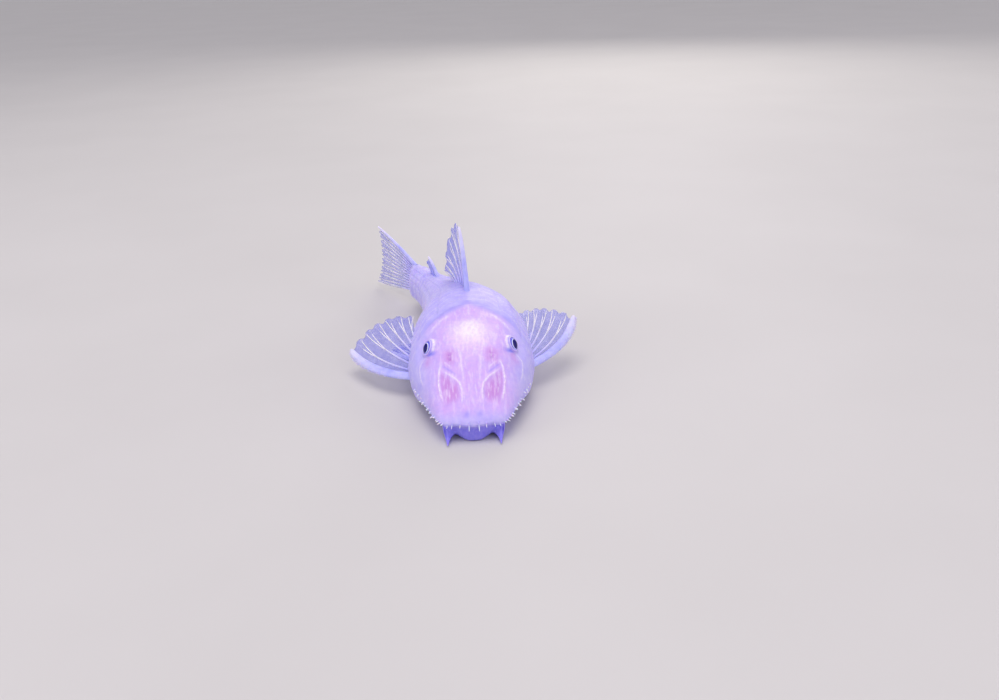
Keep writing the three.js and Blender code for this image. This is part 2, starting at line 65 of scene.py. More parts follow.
# The body, as in the solids: s, half width, top, bottom and height of the widest line
BODY = np.array([
    [0, 0, 2.5, 2.0, 2.25],
    [1, 4.3, 4.0, 1.95, 2.5],
    [3, 5.7, 5.7, 1.9, 2.7],
    [6, 6.9, 7.7, 1.6, 2.9],
    [10, 8.4, 10.0, 0.6, 3.2],
    [14, 9.4, 11.6, -0.15, 3.5],
    [18, 9.8, 12.7, -0.2, 3.8],
    [23, 9.7, 13.6, -0.2, 4.2],
    [27, 9.0, 13.8, -0.2, 4.5],
    [33, 7.4, 12.8, -0.15, 4.8],
    [40, 5.8, 11.0, 0.5, 5.0],
    [48, 4.0, 9.2, 1.6, 5.2],
    [54, 2.9, 8.4, 2.1, 5.3],
    [60, 2.1, 8.4, 2.2, 5.4],
    [62, 0.9, 8.1, 2.6, 5.4],
])
ROUND_ABOVE = 2.25
ROUND_BELOW = 3.2
STEM_END = 62
STEM_TAPER = 3.2  # the length over which the stem narrows into the tail fin
STEM_RINGS = np.array([0.36, 0.28, 0.2, 0.12, 0.05, 0.0])  # before its end
BEND_FROM = 22
BEND_TO = 60
BEND_RATE = math.radians(0.8)
NECK_SIDE = 15.2
NECK_NAPE = 6.2
NECK_THROAT = -2

# Plates: rows between these section angles, with the lines of points in each, and columns with the
# places of their lines as a share of a column
ROW_EDGES = np.radians([-90, -40, -8, 16, 38, 62, 90])
ROW_LINES = [16, 12, 12, 16, 20, 24]
PLATE_COLUMNS = 24
COLUMN_LINES = [0, 0.12, 0.3, 0.5, 0.7, 0.86, 0.96]
PLATE_RISE = 0.26
PLATE_SCALLOP = 0.18
PLATES_END = STEM_END - 0.4
SKIN_GAP = 0.04  # from the neck to the grids of the head and of the trunk
HEAD_LINES = 132
HEAD_STEP = 0.12  # how far the rear edge of the head stands above the first plates

# Eyes and nostrils. A lid leaves the eyeball open within an angle round the lid's own axis.
EYE = {"x": 6.15, "s": 13.4, "radius": 1.5, "depth": 0.72}
SOLID_EYE_DEPTH = 1.0
GAZE = [0.86, -0.34, 0.37]  # of the fish's left eye
LID_AXIS = [0.82, -0.34, 0.46]
LID_OPEN = math.radians(44)
LID_RADIUS = 1.63
LID_PATCH = (16, 21)  # rings and lines of the head's grid on each side of the eye
LID_RINGS = 36
SOLVER_STEPS = 20
# The lid's edge, as turns in degrees and how far in, and its pink, pale and painted shade
LID_EDGE = [(-0.7, 0.012), (-1.3, 0.04), (-1.6, 0.08), (-1.5, 0.13), (-0.5, 0.18), (1.5, 0.24), (5, 0.34)]
LID_EDGE_TINTS = [0, 0.25, 0]
EYE_BANDS = [(1.5, 26, 14), (27, 32, 8), (33, 38, 8), (40, 60, 12), (64, 178, 20)]  # from, to, rings
EYE_LINES = 72
NOSTRIL = (3.15, 9.7, 0.85)  # x, s and how far apart its two holes are

# Pale lines on the left half of the head: [x, s] along each, its rise, half width and paleness. The
# last is a painted highlight along the skull's edge, over a low ridge.
PALE_LINES = [
    ([(4.2, 9.6), (4.75, 8.2), (4.95, 6.4), (4.7, 4.6), (4.2, 3.0)], 0.11, 0.17, 0.85),
    ([(4.6, 8.2), (3.6, 7.2), (2.5, 6.2), (1.75, 5.3), (1.5, 4.3), (1.5, 3.2), (1.6, 2.2)], 0.1, 0.16, 0.8),
    ([(4.2, 9.3), (3.3, 8.35), (2.7, 7.7)], 0.05, 0.15, 0.5),
    ([(7.6, 12.4), (7.85, 11.0), (7.75, 9.8), (7.4, 8.4)], 0.06, 0.18, 0.6),
    ([(2.2, 12.9), (1.8, 10.8), (1.45, 8.6), (1.25, 6.4), (1.2, 4.6)], 0.035, 0.17, 0.4),
    ([(2.6, 19.2), (4.2, 18.5), (5.6, 17.3), (6.4, 16.2)], 0.03, 0.34, 0.5),
]
# Other marks there: [x, s] along seams and a groove that takes painted shade, round the pink patch,
# and of the blue dot and the blush, then [x, s, length] of short streaks, [x, s] of folds, and the
# gill's [s, section angle]
SKULL_SEAMS = [
    [(0.0, 16.0), (0.05, 21.0)],
    [(4.7, 14.6), (3.2, 16.2), (2.2, 18.6), (2.0, 20.8)],
    [(7.2, 15.4), (5.6, 16.4), (4.6, 18.6)],
]
SNOUT_GROOVE = [(4.5, 8.9), (3.5, 7.8), (2.7, 7.05), (2.1, 6.5)]
SNOUT_PATCH = [(4.6, 7.5), (4.7, 5.6), (4.4, 4.0), (3.7, 2.9), (2.5, 2.8), (1.8, 3.6), (1.9, 4.9), (3.2, 6.4)]
NOSE_DOT = (0.95, 1.1)
BLUSH = (6.7, 10.9)
STREAKS = [(3.9, 4.6, 1.2), (3.4, 4.2, 1.5), (2.9, 4.6, 1.1), (2.45, 3.6, 1.0)]
FOLDS = [(0.35, 6.0), (0.8, 5.2), (1.0, 8.0)]
GILL = np.array([(12.2, -34), (12.9, -44), (13.3, -54), (13.3, -64)])
# Where the pale head gives way to the trunk's own colour, as x and s
HEAD_BORDER = [(0, 21.9), (3.4, 20.0), (6, 19.0), (7.4, 18.2), (9, 17.0)]

# Mouth: the lip's top, its front edge, its edge on the floor and the flat sole, as [x, s, z] from the
# middle of the front round the fish's left to the middle of the back, with the barbel's tip among them
MOUTH_CENTRE = np.array([0.0, 4.9, 0.0])
MOUTH_HUB = np.array([0, 5.3, 0])
LIP_TOP = [
    (0, 0.5, 2.45), (1.2, 0.58, 2.45), (2.4, 0.85, 2.4), (3.3, 1.3, 2.2), (3.8, 1.75, 2.05),
    (4.1, 2.1, 1.9), (4.3, 2.5, 1.9), (4.45, 3.1, 1.9), (4.6, 4.3, 1.9), (4.5, 5.8, 1.8),
    (3.9, 7.4, 1.7), (2.4, 8.5, 1.6), (0, 8.8, 1.6),
]
LIP_EDGE = [
    (0, 0.42, 0.26), (1.0, 0.52, 0.34), (1.9, 0.95, 0.72), (2.65, 1.3, 1.05), (3.15, 1.0, 0.9),
    (3.55, 0.1, 0.6), (3.85, -1.2, 0.32), (4.1, 0.1, 0.55), (4.35, 1.6, 0.72), (4.55, 3.2, 0.6),
    (4.5, 6.0, 0.45), (3.1, 8.6, 0.45), (0, 9.1, 0.45),
]
LIP_FLOOR = [
    (0, 0.75, 0.03), (1.0, 1.0, 0.03), (1.9, 2.1, 0.03), (2.6, 3.2, 0.03), (3.1, 2.8, 0.03),
    (3.5, 1.6, 0.1), (3.86, -0.9, 0.18), (4.05, 1.2, 0.1), (4.25, 2.4, 0.03), (4.4, 3.6, 0.03),
    (4.3, 6.0, 0.03), (3.0, 8.3, 0.03), (0, 8.8, 0.03),
]
LIP_SOLE = [
    (0, 1.35, 0.03), (0.95, 1.55, 0.03), (1.7, 2.5, 0.03), (2.4, 3.45, 0.03), (2.85, 3.75, 0.03),
    (3.25, 3.95, 0.03), (3.5, 4.15, 0.03), (3.62, 4.35, 0.03), (3.7, 4.55, 0.03), (3.75, 4.85, 0.03),
    (3.7, 6.1, 0.03), (2.6, 7.8, 0.03), (0, 8.2, 0.03),
]
LIP_CAP = [(0.86, 0.3), (0.94, 0.2)]
MOUTH_OVAL = (2.5, 2.25, 5.75)  # half its width and length, and the place of its middle
MOUTH_RINGS = [(0.92, 0.06), (0.86, 0.14), (0.82, 0.3), (0.8, 0.55), (0.74, 0.9)]  # size and height

# Bristles: x and length of those on the front edge, s, turn and length of those at each corner, and
# the width along one
FRONT_BRISTLES = [
    (-3.8, 0.45), (-3.1, 0.65), (-1.95, 0.55), (-0.65, 0.85),
    (0.75, 0.85), (1.8, 0.55), (3.0, 0.65), (3.8, 0.45),
]
CORNER_BRISTLES = [(1.15, 0.8, 0.5), (1.5, 1.1, 0.7), (1.95, 1.4, 0.5)]
SIDE_BRISTLES = 16
BRISTLE_SHAPE = [(-0.5, 2.2), (0, 1.7), (0.1, 1.25), (0.3, 0.95), (0.8, 0.6), (0.93, 0.3)]
CHEEK_SPINES = 18
BLADE_SPINES = 320
JOINT_LENGTH = 0.46  # of the soft rays

# Lights: name, place and size in metres, power in watts and colour
LAMPS = [
    ("above", (-0.03, -0.06, 0.42), 0.3, 0.44, (1.0, 0.93, 1.0)),
    ("front", (0.2, -0.42, 0.2), 0.3, 0.36, (0.9, 0.88, 1.0)),
    ("left", (-0.4, -0.12, 0.16), 0.3, 0.58, (0.9, 0.87, 1.0)),
    ("right", (0.42, -0.08, 0.14), 0.3, 0.36, (0.88, 0.85, 1.0)),
    ("behind", (0.1, 0.4, 0.22), 0.2, 0.4, (1.0, 0.95, 0.94)),
]
SKY_LIGHT = 0.61  # an even light from above, in watts for each square metre
SKY_COLOUR = (1.0, 0.95, 1.0)
SKY_WIDTH = math.radians(50)
WORLD_COLOUR = (0.88, 0.86, 1.0, 1.0)
WORLD_STRENGTH = 0.47
FLOOR_HALF = 12.0  # half the floor's width, in metres


def unit(v):
    return v / np.maximum(np.linalg.norm(v, axis=-1, keepdims=True), 1e-9)


def dot(a, b):
    return (a * b).sum(-1)


def smooth(low, high, v):
    """0 up to low and 1 from high on, with an even rise between"""
    t = np.clip((np.asarray(v, float) - low) / (high - low), 0, 1)
    return t * t * (3 - 2 * t)


def hill(distance, width):
    """1 where the distance is 0, and almost 0 two widths away"""
    return np.exp(-((distance / width) ** 2))


def turns(count):
    return 2 * np.pi * np.arange(count) / count


def circle(turn, across, up):
    """Directions at these turns round a ring, for one pair of directions or for each of many"""
    return np.cos(turn)[:, None] * across[..., None, :] + np.sin(turn)[:, None] * up[..., None, :]


def square_to(axis, guide=(0, 0, 1)):
    """Two directions square to an axis and to each other"""
    across = unit(np.cross(axis, guide))
    return across, np.cross(across, axis)


def curve_through(column):
    """A smooth curve through one column of BODY, on the root of s, that never overshoots"""
    t = np.sqrt(BODY[:, 0])
    v = BODY[:, column]
    rise = np.diff(v) / np.diff(t)
    product = rise[:-1] * rise[1:]
    total = rise[:-1] + rise[1:]
    inner = np.where(product > 0, 2 * product / np.where(total == 0, 1, total), 0)
    slope = np.concatenate([rise[:1], inner, rise[-1:]])

    def at(s):
        x = np.clip(np.sqrt(np.maximum(s, 0)), t[0], t[-1])
        i = np.clip(np.searchsorted(t, x, side="left") - 1, 0, len(t) - 2)
        h = t[i + 1] - t[i]
        f = (x - t[i]) / h
        g = 1 - f
        ends = v[i] * g * g * (1 + 2 * f) + v[i + 1] * f * f * (3 - 2 * f)
        return ends + h * f * g * (slope[i] * g - slope[i + 1] * f)

    return at


half_width, top, bottom, widest = (curve_through(column) for column in (1, 2, 3, 4))


def body_point(s, angle):
    """Points of the smooth body. The angle is -90 degrees on the belly's midline, 0 on the widest
    line of the fish's left and 90 on the back."""
    s, angle = np.broadcast_arrays(np.asarray(s, float), np.asarray(angle, float))
    c, d = np.cos(angle), np.sin(angle)
    power = 2 / np.where(d >= 0, ROUND_ABOVE, ROUND_BELOW)
    reach = np.where(d >= 0, top(s) - widest(s), widest(s) - bottom(s))
    x = half_width(s) * np.sign(c) * np.abs(c) ** power
    z = widest(s) + reach * np.sign(d) * np.abs(d) ** power
    return np.stack([x, s, z], -1)


def body_normal(s, angle):
    s = np.asarray(s, float)
    along = body_point(s + 0.05, angle) - body_point(np.maximum(s - 0.05, 0.01), angle)
    around = body_point(s, angle + 0.02) - body_point(s, angle - 0.02)
    return unit(np.cross(along, around))


def slimmed(points):
    """The snout's sides drawn in a little, and its underside drawn up behind the edge"""
    x, s, z = np.moveaxis(points, -1, 0)
    middle = widest(s)
    share = np.abs(x) / np.maximum(half_width(s), 0.1)
    below = np.clip((middle - z) / np.maximum(middle - bottom(s), 0.1), 0, 1)
    above = np.clip((z - middle) / np.maximum(top(s) - middle, 0.1), 0, 1)
    narrow = 1 - 0.015 * smooth(0.8, 3.5, s) * smooth(13, 8, s) * share**3
    narrow = narrow - 0.16 * smooth(0, 1, s) * smooth(13, 7, s) * below**1.5
    lift = 0.55 * smooth(4.6, 2.5, np.abs(x)) * smooth(2.4, 0, s) * (1 - above)
    return np.stack([x * narrow, s, z + lift], -1)


def angle_at(x, s):
    """The section angle at which the upper body is x from the middle"""
    c = np.minimum(np.abs(x) / half_width(s), 1) ** (ROUND_ABOVE / 2)
    return np.where(x > 0, np.arccos(c), np.pi - np.arccos(c))


def on_back(path):
    """Points of the upper body from [x, s] pairs"""
    x, s = np.array(path, float).T
    return body_point(s, angle_at(x, s))


def neck_at(angle):
    d = np.sin(angle)
    return NECK_SIDE + np.where(d > 0, NECK_NAPE * d**3, NECK_THROAT * d * d)


def stem_taper(s):
    """How much of its width the tail stem keeps as it narrows into the tail fin"""
    return np.sqrt(np.clip((STEM_END + 0.08 - s) / STEM_TAPER, 0, 1))


def bent(points):
    """The bend of the tail"""
    x, s, z = np.moveaxis(points, -1, 0)
    inside = np.clip(s - BEND_FROM, 0, BEND_TO - BEND_FROM)
    beyond = np.maximum(s - BEND_TO, 0)
    turn = BEND_RATE * inside
    c, d = np.cos(turn), np.sin(turn)
    side = x * c - (1 - c) / BEND_RATE - beyond * d
    back = x * d + d / BEND_RATE + beyond * c + np.minimum(s, BEND_FROM)
    return np.stack([side, back, z], -1)


def straight(points):
    return points


def eye_at(side, depth=EYE["depth"]):
    """The centre of an eyeball"""
    angle = angle_at(side * EYE["x"], EYE["s"])
    return body_point(EYE["s"], angle) - depth * body_normal(EYE["s"], angle)


def frame_offset():
    """From the straight fish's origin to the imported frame's, both in millimetres"""
    boxes = [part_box("eye_left"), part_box("eye_right")]
    packed = np.mean([np.array(corner) for box in boxes for corner in box], axis=0) / MM
    made = np.mean([eye_at(side, SOLID_EYE_DEPTH) for side in SIDES], axis=0)
    return np.array([packed[0] - made[0], packed[1] - made[1], 0.0])


class Surface:
    """Closed shapes that share one mesh, with named numbers at their points"""

    def __init__(self):
        self.points = []
        self.faces = []
        self.marks = {}
        self.count = 0

    def add(self, points, faces, **marks):
        points = points.reshape(-1, 3)
        if signed_volume(points, faces) < 0:
            faces = [block[:, ::-1] for block in faces]
        self.points.append(points)
        self.faces += [block + self.count for block in faces]
        for name, values in marks.items():
            values = np.asarray(values, float)
            values = np.broadcast_to(values, (len(points),) + values.shape[1:])
            self.marks.setdefault(name, []).append(values)
        self.count += len(points)


def signed_volume(points, faces):
    total = 0
    for block in faces:
        for k in range(1, block.shape[1] - 1):
            a, b, c = points[block[:, 0]], points[block[:, k]], points[block[:, k + 1]]
            total += np.einsum("ij,ij->", np.cross(a, b), c)
    return total


def ring_quads(rings, around, first=0):
    i, j = np.meshgrid(np.arange(rings - 1), np.arange(around), indexing="ij")
    k = (j + 1) % around
    quads = np.stack([i * around + j, i * around + k, (i + 1) * around + k, (i + 1) * around + j], -1)
    return quads.reshape(-1, 4) + first


def ring_fan(centre, first, around):
    j = np.arange(around)
    return np.stack([np.full(around, centre), first + j, first + (j + 1) % around], -1)


def loft(rings, start, end):
    """A closed shape of rings of equal count, with a point at each end"""
    count, around = rings.shape[:2]
    total = count * around
    faces = [
        ring_quads(count, around),
        ring_fan(total, 0, around)[:, ::-1],
        ring_fan(total + 1, total - around, around),
    ]
    return np.concatenate([rings.reshape(-1, 3), [start, end]]), faces


def tube_rings(path, half_across, half_up, across, sides):
    """Rings round a path, flattened where the two halves differ"""
    along = unit(np.gradient(path, axis=0))
    up = unit(np.cross(across, along))
    across = np.cross(along, up)
    return path[:, None] + circle(turns(sides), half_across[:, None] * across, half_up[:, None] * up)


def spikes(surface, roots, outward, length, radius, place, droop=0.0):
    """Many small tapered spines at once. Each is given a small patch at its root's place on an
    unwrap of the shape it grows from."""
    sides = 5
    count = len(roots)
    length = np.broadcast_to(length, count)
    turn = turns(sides)
    around = radius * circle(turn, *square_to(outward, [0.31, 0.83, 0.47]))
    levels = np.array([[-0.25, 1.0], [0.2, 0.85], [0.65, 0.5]])
    rings = []
    for share, width in levels:
        centre = roots + (share * length)[:, None] * outward + [0, 0, -droop * share * share]
        rings.append(centre[:, None] + width * around)
    tips = roots + length[:, None] * outward + [0, 0, -droop]
    points = np.concatenate([np.stack(rings, 1).reshape(count, -1, 3), tips[:, None]], 1)
    per = points.shape[1]
    foot = np.array([[0, k + 1, k] for k in range(1, sides - 1)])
    blocks = [ring_quads(len(levels), sides), ring_fan(per - 1, per - 1 - sides, sides), foot]
    faces = [(block + per * np.arange(count)[:, None, None]).reshape(-1, block.shape[1]) for block in blocks]
    share = np.append(np.repeat(levels[:, 0].clip(0), sides), 1.0)
    patch = np.stack([np.append(np.tile(turn / 6.3, len(levels)), 0.5), share], -1) * 0.003
    place = (place[:, None] + patch).reshape(-1, 2)
    surface.add(points, faces, share=np.tile(share, count), place=place)


# Materials


def srgb(red, green, blue):
    """A colour as a picture states it, from 0 to 255, for a shader"""
    share = np.array([red, green, blue]) / 255
    linear = np.where(share <= 0.04045, share / 12.92, ((share + 0.055) / 1.055) ** 2.4)
    return (*linear.tolist(), 1.0)


def scattering(weight, depth_mm, radius=(1.0, 0.2, 0.1)):
    """The light that goes under the surface and comes out again, as inputs of the shader"""
    return {"Subsurface_Weight": weight, "Subsurface_Radius": radius, "Subsurface_Scale": depth_mm * MM}


class Paint:
    """A material with one Principled shader and a base colour that is built up in layers"""

    def __init__(self, name, colour, **inputs):
        self.material = bpy.data.materials.new(name)
        self.material.use_nodes = True
        self.tree = self.material.node_tree
        self.colour = colour
        self.set(self.tree.nodes["Principled BSDF"], inputs)

    def set(self, node, inputs):
        for name, value in inputs.items():
            socket = node.inputs[name.replace("_", " ") if isinstance(name, str) else name]
            if isinstance(value, bpy.types.NodeSocket):
                self.tree.links.new(value, socket)
            else:
                socket.default_value = value

    def node(self, kind, inputs, output, **settings):
        made = self.tree.nodes.new("ShaderNode" + kind)
        for name, value in settings.items():
            setattr(made, name, value)
        self.set(made, inputs)
        return made.outputs[output]

    def mark(self, name):
        """A number kept at the points of the mesh"""
        return self.node("Attribute", {}, "Fac", attribute_name=name)

    def noise(self, size_mm, detail, stretch=(1, 1, 1)):
        """Soft noise whose features are about this large"""
        place = self.node("TexCoord", {}, "Object")
        place = self.node("Mapping", {"Vector": place, "Scale": stretch}, "Vector")
        return self.node("TexNoise", {"Vector": place, "Scale": 1 / (size_mm * MM), "Detail": detail}, "Fac")

    def spread(self, value, low, high, to_low=0.0, to_high=1.0):
        inputs = {"Value": value, "From_Min": low, "From_Max": high, "To_Min": to_low, "To_Max": to_high}
        return self.node("MapRange", inputs, "Result")

    def cloud(self, size_mm, detail, low, high, to_low=0.0, to_high=1.0, stretch=(1, 1, 1)):
        return self.spread(self.noise(size_mm, detail, stretch), low, high, to_low, to_high)

    def mixed(self, under, over, *shares):
        """One colour laid over another, as strongly as the product of the shares"""
        share = shares[0]
        for factor in shares[1:]:
            share = self.node("Math", {0: share, 1: factor}, 0, operation="MULTIPLY")
        return self.node("Mix", {0: share, 6: under, 7: over}, 2, data_type="RGBA")

    def layer(self, colour, *shares):
        self.colour = self.mixed(self.colour, colour, *shares)

    def bump(self, height, depth_mm, **before):
        inputs = {"Height": height, "Distance": depth_mm * MM, "Strength": 1.0, **before}
        return self.node("Bump", inputs, "Normal")

    def grains(self, size_mm, depth_mm):
        """Small round grains set close"""
        place = self.node("TexCoord", {}, "Object")
        grain = self.node("TexVoronoi", {"Vector": place, "Scale": 1 / (size_mm * MM)}, "Distance")
        return self.bump(grain, depth_mm)

    def finish(self, **inputs):
        self.set(self.tree.nodes["Principled BSDF"], {"Base_Color": self.colour, **inputs})
        return self.material


LAVENDER = srgb(192, 181, 250)
SNOUT = srgb(222, 188, 249)
# The forehead's own warm pinkish white, made lighter partly as painted light on its top
WARM_AND_LIT = srgb(244, 216, 250)
# The cream of a painted highlight on the top of the head
PAINTED_HIGHLIGHT = srgb(255, 250, 247)
PINK = srgb(206, 146, 220)
PALE = srgb(252, 244, 255)
# The violet of painted shade, also used for a blue dot near the snout's tip
SHADE_AND_DOT_BLUE = srgb(138, 132, 240)
CREAM = srgb(252, 247, 244)


def skin_material():
    under = scattering(0.25, 0.7, (1.0, 0.6, 0.85))
    paint = Paint("skin", srgb(188, 178, 246), Specular_IOR_Level=0.42, **under)
    mottle = paint.cloud(1.5, 3, 0.3, 0.7)
    streak = paint.cloud(0.45, 5, 0.36, 0.64, stretch=(1, 0.22, 0.22))
    fleshy = paint.cloud(0.9, 4, 0.35, 0.7, stretch=(1, 0.35, 0.35))
    # Noise that breaks up the painted highlight on the top of the head
    highlight_breakup = paint.cloud(0.6, 4, 0.38, 0.6, 0.5, 1.0, (1, 0.5, 0.5))
    snout = paint.mark("snout")
    paint.layer(srgb(208, 200, 250), mottle)
    paint.layer(SNOUT, snout, paint.spread(mottle, 0, 1, 0.75, 1.0))
    paint.layer(PINK, snout, fleshy, 0.32)
    # The forehead's warm tint, lighter on its top partly as painted light
    paint.layer(WARM_AND_LIT, paint.mark("warm_and_lit"), paint.spread(streak, 0, 1, 0.7, 1.0))
    paint.layer(srgb(172, 158, 242), paint.cloud(0.55, 5, 0.38, 0.62, 0.2, 0.0))
    paint.layer(PINK, paint.mark("pink"), paint.spread(streak, 0, 1, 0.95, 0.6))
    paint.layer(PALE, paint.spread(streak, 0.55, 1, 0, 1), snout, 0.26)
    # A painted highlight on the head's very top
    paint.layer(PAINTED_HIGHLIGHT, paint.mark("painted_highlight"), highlight_breakup)
    # Painted shade in grooves, under the eye's lid, on the snout's low sides and in the fold behind the head,
    # and a blue dot near the snout's tip
    paint.layer(SHADE_AND_DOT_BLUE, paint.mark("blue"), 0.9)
    # Pale ridges and streaks, with painted highlights on the eye's lid and along the skull's edge
    paint.layer(PALE, paint.mark("pale"), paint.cloud(0.4, 4, 0.38, 0.62, 0.45, 1.0))
    return paint.finish(
        Roughness=paint.cloud(0.35, 3, 0.3, 0.7, 0.3, 0.5),
        Normal=paint.bump(paint.noise(0.5, 4, (1, 0.5, 1)), 0.045, Normal=paint.grains(0.2, 0.016)),
    )


def lip_material():
    under = scattering(0.35, 0.8, (1.0, 0.6, 0.8))
    paint = Paint("lips", srgb(172, 162, 244), Specular_IOR_Level=0.4, **under)
    mottle = paint.cloud(0.5, 4, 0.35, 0.65)
    # A darker copy of the lip's colour, as painted shade
    painted_shade = paint.mixed(srgb(134, 126, 234), srgb(162, 152, 242), mottle, 0.5)
    paint.layer(srgb(196, 184, 249), mottle, 0.5)
    # Painted shade on the front of the lip, under the snout's edge
    paint.layer(painted_shade, paint.mark("front"))
    paint.layer(srgb(226, 150, 196), paint.mark("inside"))
    return paint.finish(
        Roughness=paint.cloud(0.25, 3, 0.3, 0.7, 0.34, 0.5),
        Normal=paint.bump(paint.noise(0.18, 3), 0.02),
    )


def ray_material():
    under = scattering(0.25, 0.4, (1.0, 0.7, 0.9))
    paint = Paint("fin_rays", srgb(188, 184, 250), Specular_IOR_Level=0.45, **under)
    share = paint.mark("share")
    cloud = paint.cloud(1.4, 3, 0.35, 0.65)
    stout = paint.mixed(srgb(178, 180, 250), srgb(200, 200, 252), cloud)
    stout = paint.mixed(stout, CREAM, paint.spread(share, 0.45, 1.0, 0, 0.6))
    paint.layer(CREAM, paint.spread(share, 0.15, 0.75))
    paint.layer(stout, paint.mark("spine"))
    return paint.finish(Roughness=paint.spread(cloud, 0, 1, 0.32, 0.46), Normal=paint.grains(0.16, 0.008))


def membrane_material(name, solid, deep, light):
    paint = Paint(name, deep, Specular_IOR_Level=0.5, Alpha=solid)
    paint.layer(light, paint.cloud(1.1, 4, 0.36, 0.64))
    return paint.finish(
        Roughness=paint.cloud(0.3, 3, 0.3, 0.7, 0.16, 0.3),
        Normal=paint.bump(paint.noise(0.25, 3), 0.012),
    )


def spine_material():
    paint = Paint("odontodes", srgb(214, 206, 250), Roughness=0.3, **scattering(0.2, 0.3))
    paint.layer(PALE, paint.mark("share"))
    return paint.finish()


def tentacle_material():
    paint = Paint("tentacles", LAVENDER, Roughness=0.36, **scattering(0.35, 0.5))
    paint.layer(srgb(250, 248, 255), paint.spread(paint.mark("share"), 0.0, 0.55))
    return paint.finish(Normal=paint.bump(paint.noise(0.12, 2), 0.01))


def eye_material():
    paint = Paint("eye", srgb(150, 152, 238), Specular_IOR_Level=0.25, Roughness=0.1)
    paint.layer(srgb(196, 204, 252), paint.cloud(0.2, 3, 0.3, 0.7))
    paint.layer(srgb(104, 104, 226), paint.mark("deep"))
    paint.layer(srgb(250, 246, 255), paint.mark("rim"))
    paint.layer(srgb(16, 6, 104), paint.mark("pupil"))
    return paint.finish()


def floor_material():
    paint = Paint("floor", srgb(209, 207, 200), Roughness=0.6, Specular_IOR_Level=0.3)
    paint.layer(srgb(212, 210, 203), paint.cloud(40, 3, 0.3, 0.7))
    return paint.finish()


# From points to objects


def place_object(name, data):
    """A new object in the scene"""
    made = bpy.data.objects.new(name, data)
    bpy.context.scene.collection.objects.link(made)
    return made


def make_piece(name, surface, material, nodes=(), shape=bent):
    """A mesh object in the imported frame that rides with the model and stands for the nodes"""
    points = (shape(np.concatenate(surface.points)) + OFFSET) * MM
    mesh = bpy.data.meshes.new(name)
    mesh.from_pydata(points.tolist(), [], [face for block in surface.faces for face in block.tolist()])
    for mark, blocks in surface.marks.items():
        values = np.concatenate(blocks)
        if mark == "place":
            corners = np.empty(len(mesh.loops), int)
            mesh.loops.foreach_get("vertex_index", corners)
            mesh.uv_layers.new(name="OFBake").data.foreach_set("uv", values[corners].ravel())
        else:
            mesh.attributes.new(mark, "FLOAT", "POINT").data.foreach_set("value", values)
    mesh.shade_smooth()
    mesh.materials.append(material)
    piece = place_object(name, mesh)
    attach(piece, "root")
    if nodes:
        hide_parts(*nodes)


# Skin


def lines_round(times):
    """The section angles of a whole ring, with `times` as many lines as ROW_LINES says"""
    rows = zip(ROW_EDGES[:-1], ROW_EDGES[1:], ROW_LINES)
    half = [np.linspace(low, high, count * times, endpoint=False) for low, high, count in rows]
    half = np.concatenate([*half, ROW_EDGES[-1:]])
    return np.concatenate([half, np.pi - half[-2:0:-1]])


def line_distance(points, path):
    """The distance of each point from a line of points, and the share along it"""
    best = np.full(points.shape[:-1], np.inf)
    share = np.zeros(points.shape[:-1])
    for i, (a, b) in enumerate(zip(path[:-1], path[1:])):
        edge = b - a
        t = np.clip((points - a) @ edge / (edge @ edge), 0, 1)
        distance = np.linalg.norm(points - a - t[..., None] * edge, axis=-1)
        closer = distance < best
        best = np.where(closer, distance, best)
        share = np.where(closer, (i + t) / (len(path) - 1), share)
    return best, share


def near_line(points, path, width, starts=None, ends=None, least=0.0):
    """1 on a line and 0 away from it. It may fade in up to one share of its length and out from
    another, down to the least value."""
    distance, share = line_distance(points, path)
    fade = 1 if starts is None else smooth(0, starts, share) * smooth(1, ends, share)
    return hill(distance, width) * (least + (1 - least) * fade)


def inside_share(points, outline, edge):
    """1 inside an outline of [x, s] pairs and 0 outside, soft over the width of its edge"""
    here = points[..., :2]
    closed = np.array(outline + outline[:1])
    best, _ = line_distance(here, closed)
    inside = np.zeros(best.shape, bool)
    for (ax, ay), (bx, by) in zip(closed[:-1], closed[1:]):
        crosses = (ay > here[..., 1]) != (by > here[..., 1])
        at = ax + (here[..., 1] - ay) * (bx - ax) / (by - ay or 1e-9)
        inside ^= crosses & (here[..., 0] < at)
    return smooth(-edge, edge, np.where(inside, best, -best))


def round_max(a, b, width):
    blend = np.maximum(width - np.abs(a - b), 0) / width
    return np.maximum(a, b) + blend * blend * width / 4


def eye_frame():
    """The left eyeball's centre, its lid's axis and two directions square to it"""
    axis = unit(np.array(LID_AXIS))
    return eye_at(1), axis, *square_to(axis)


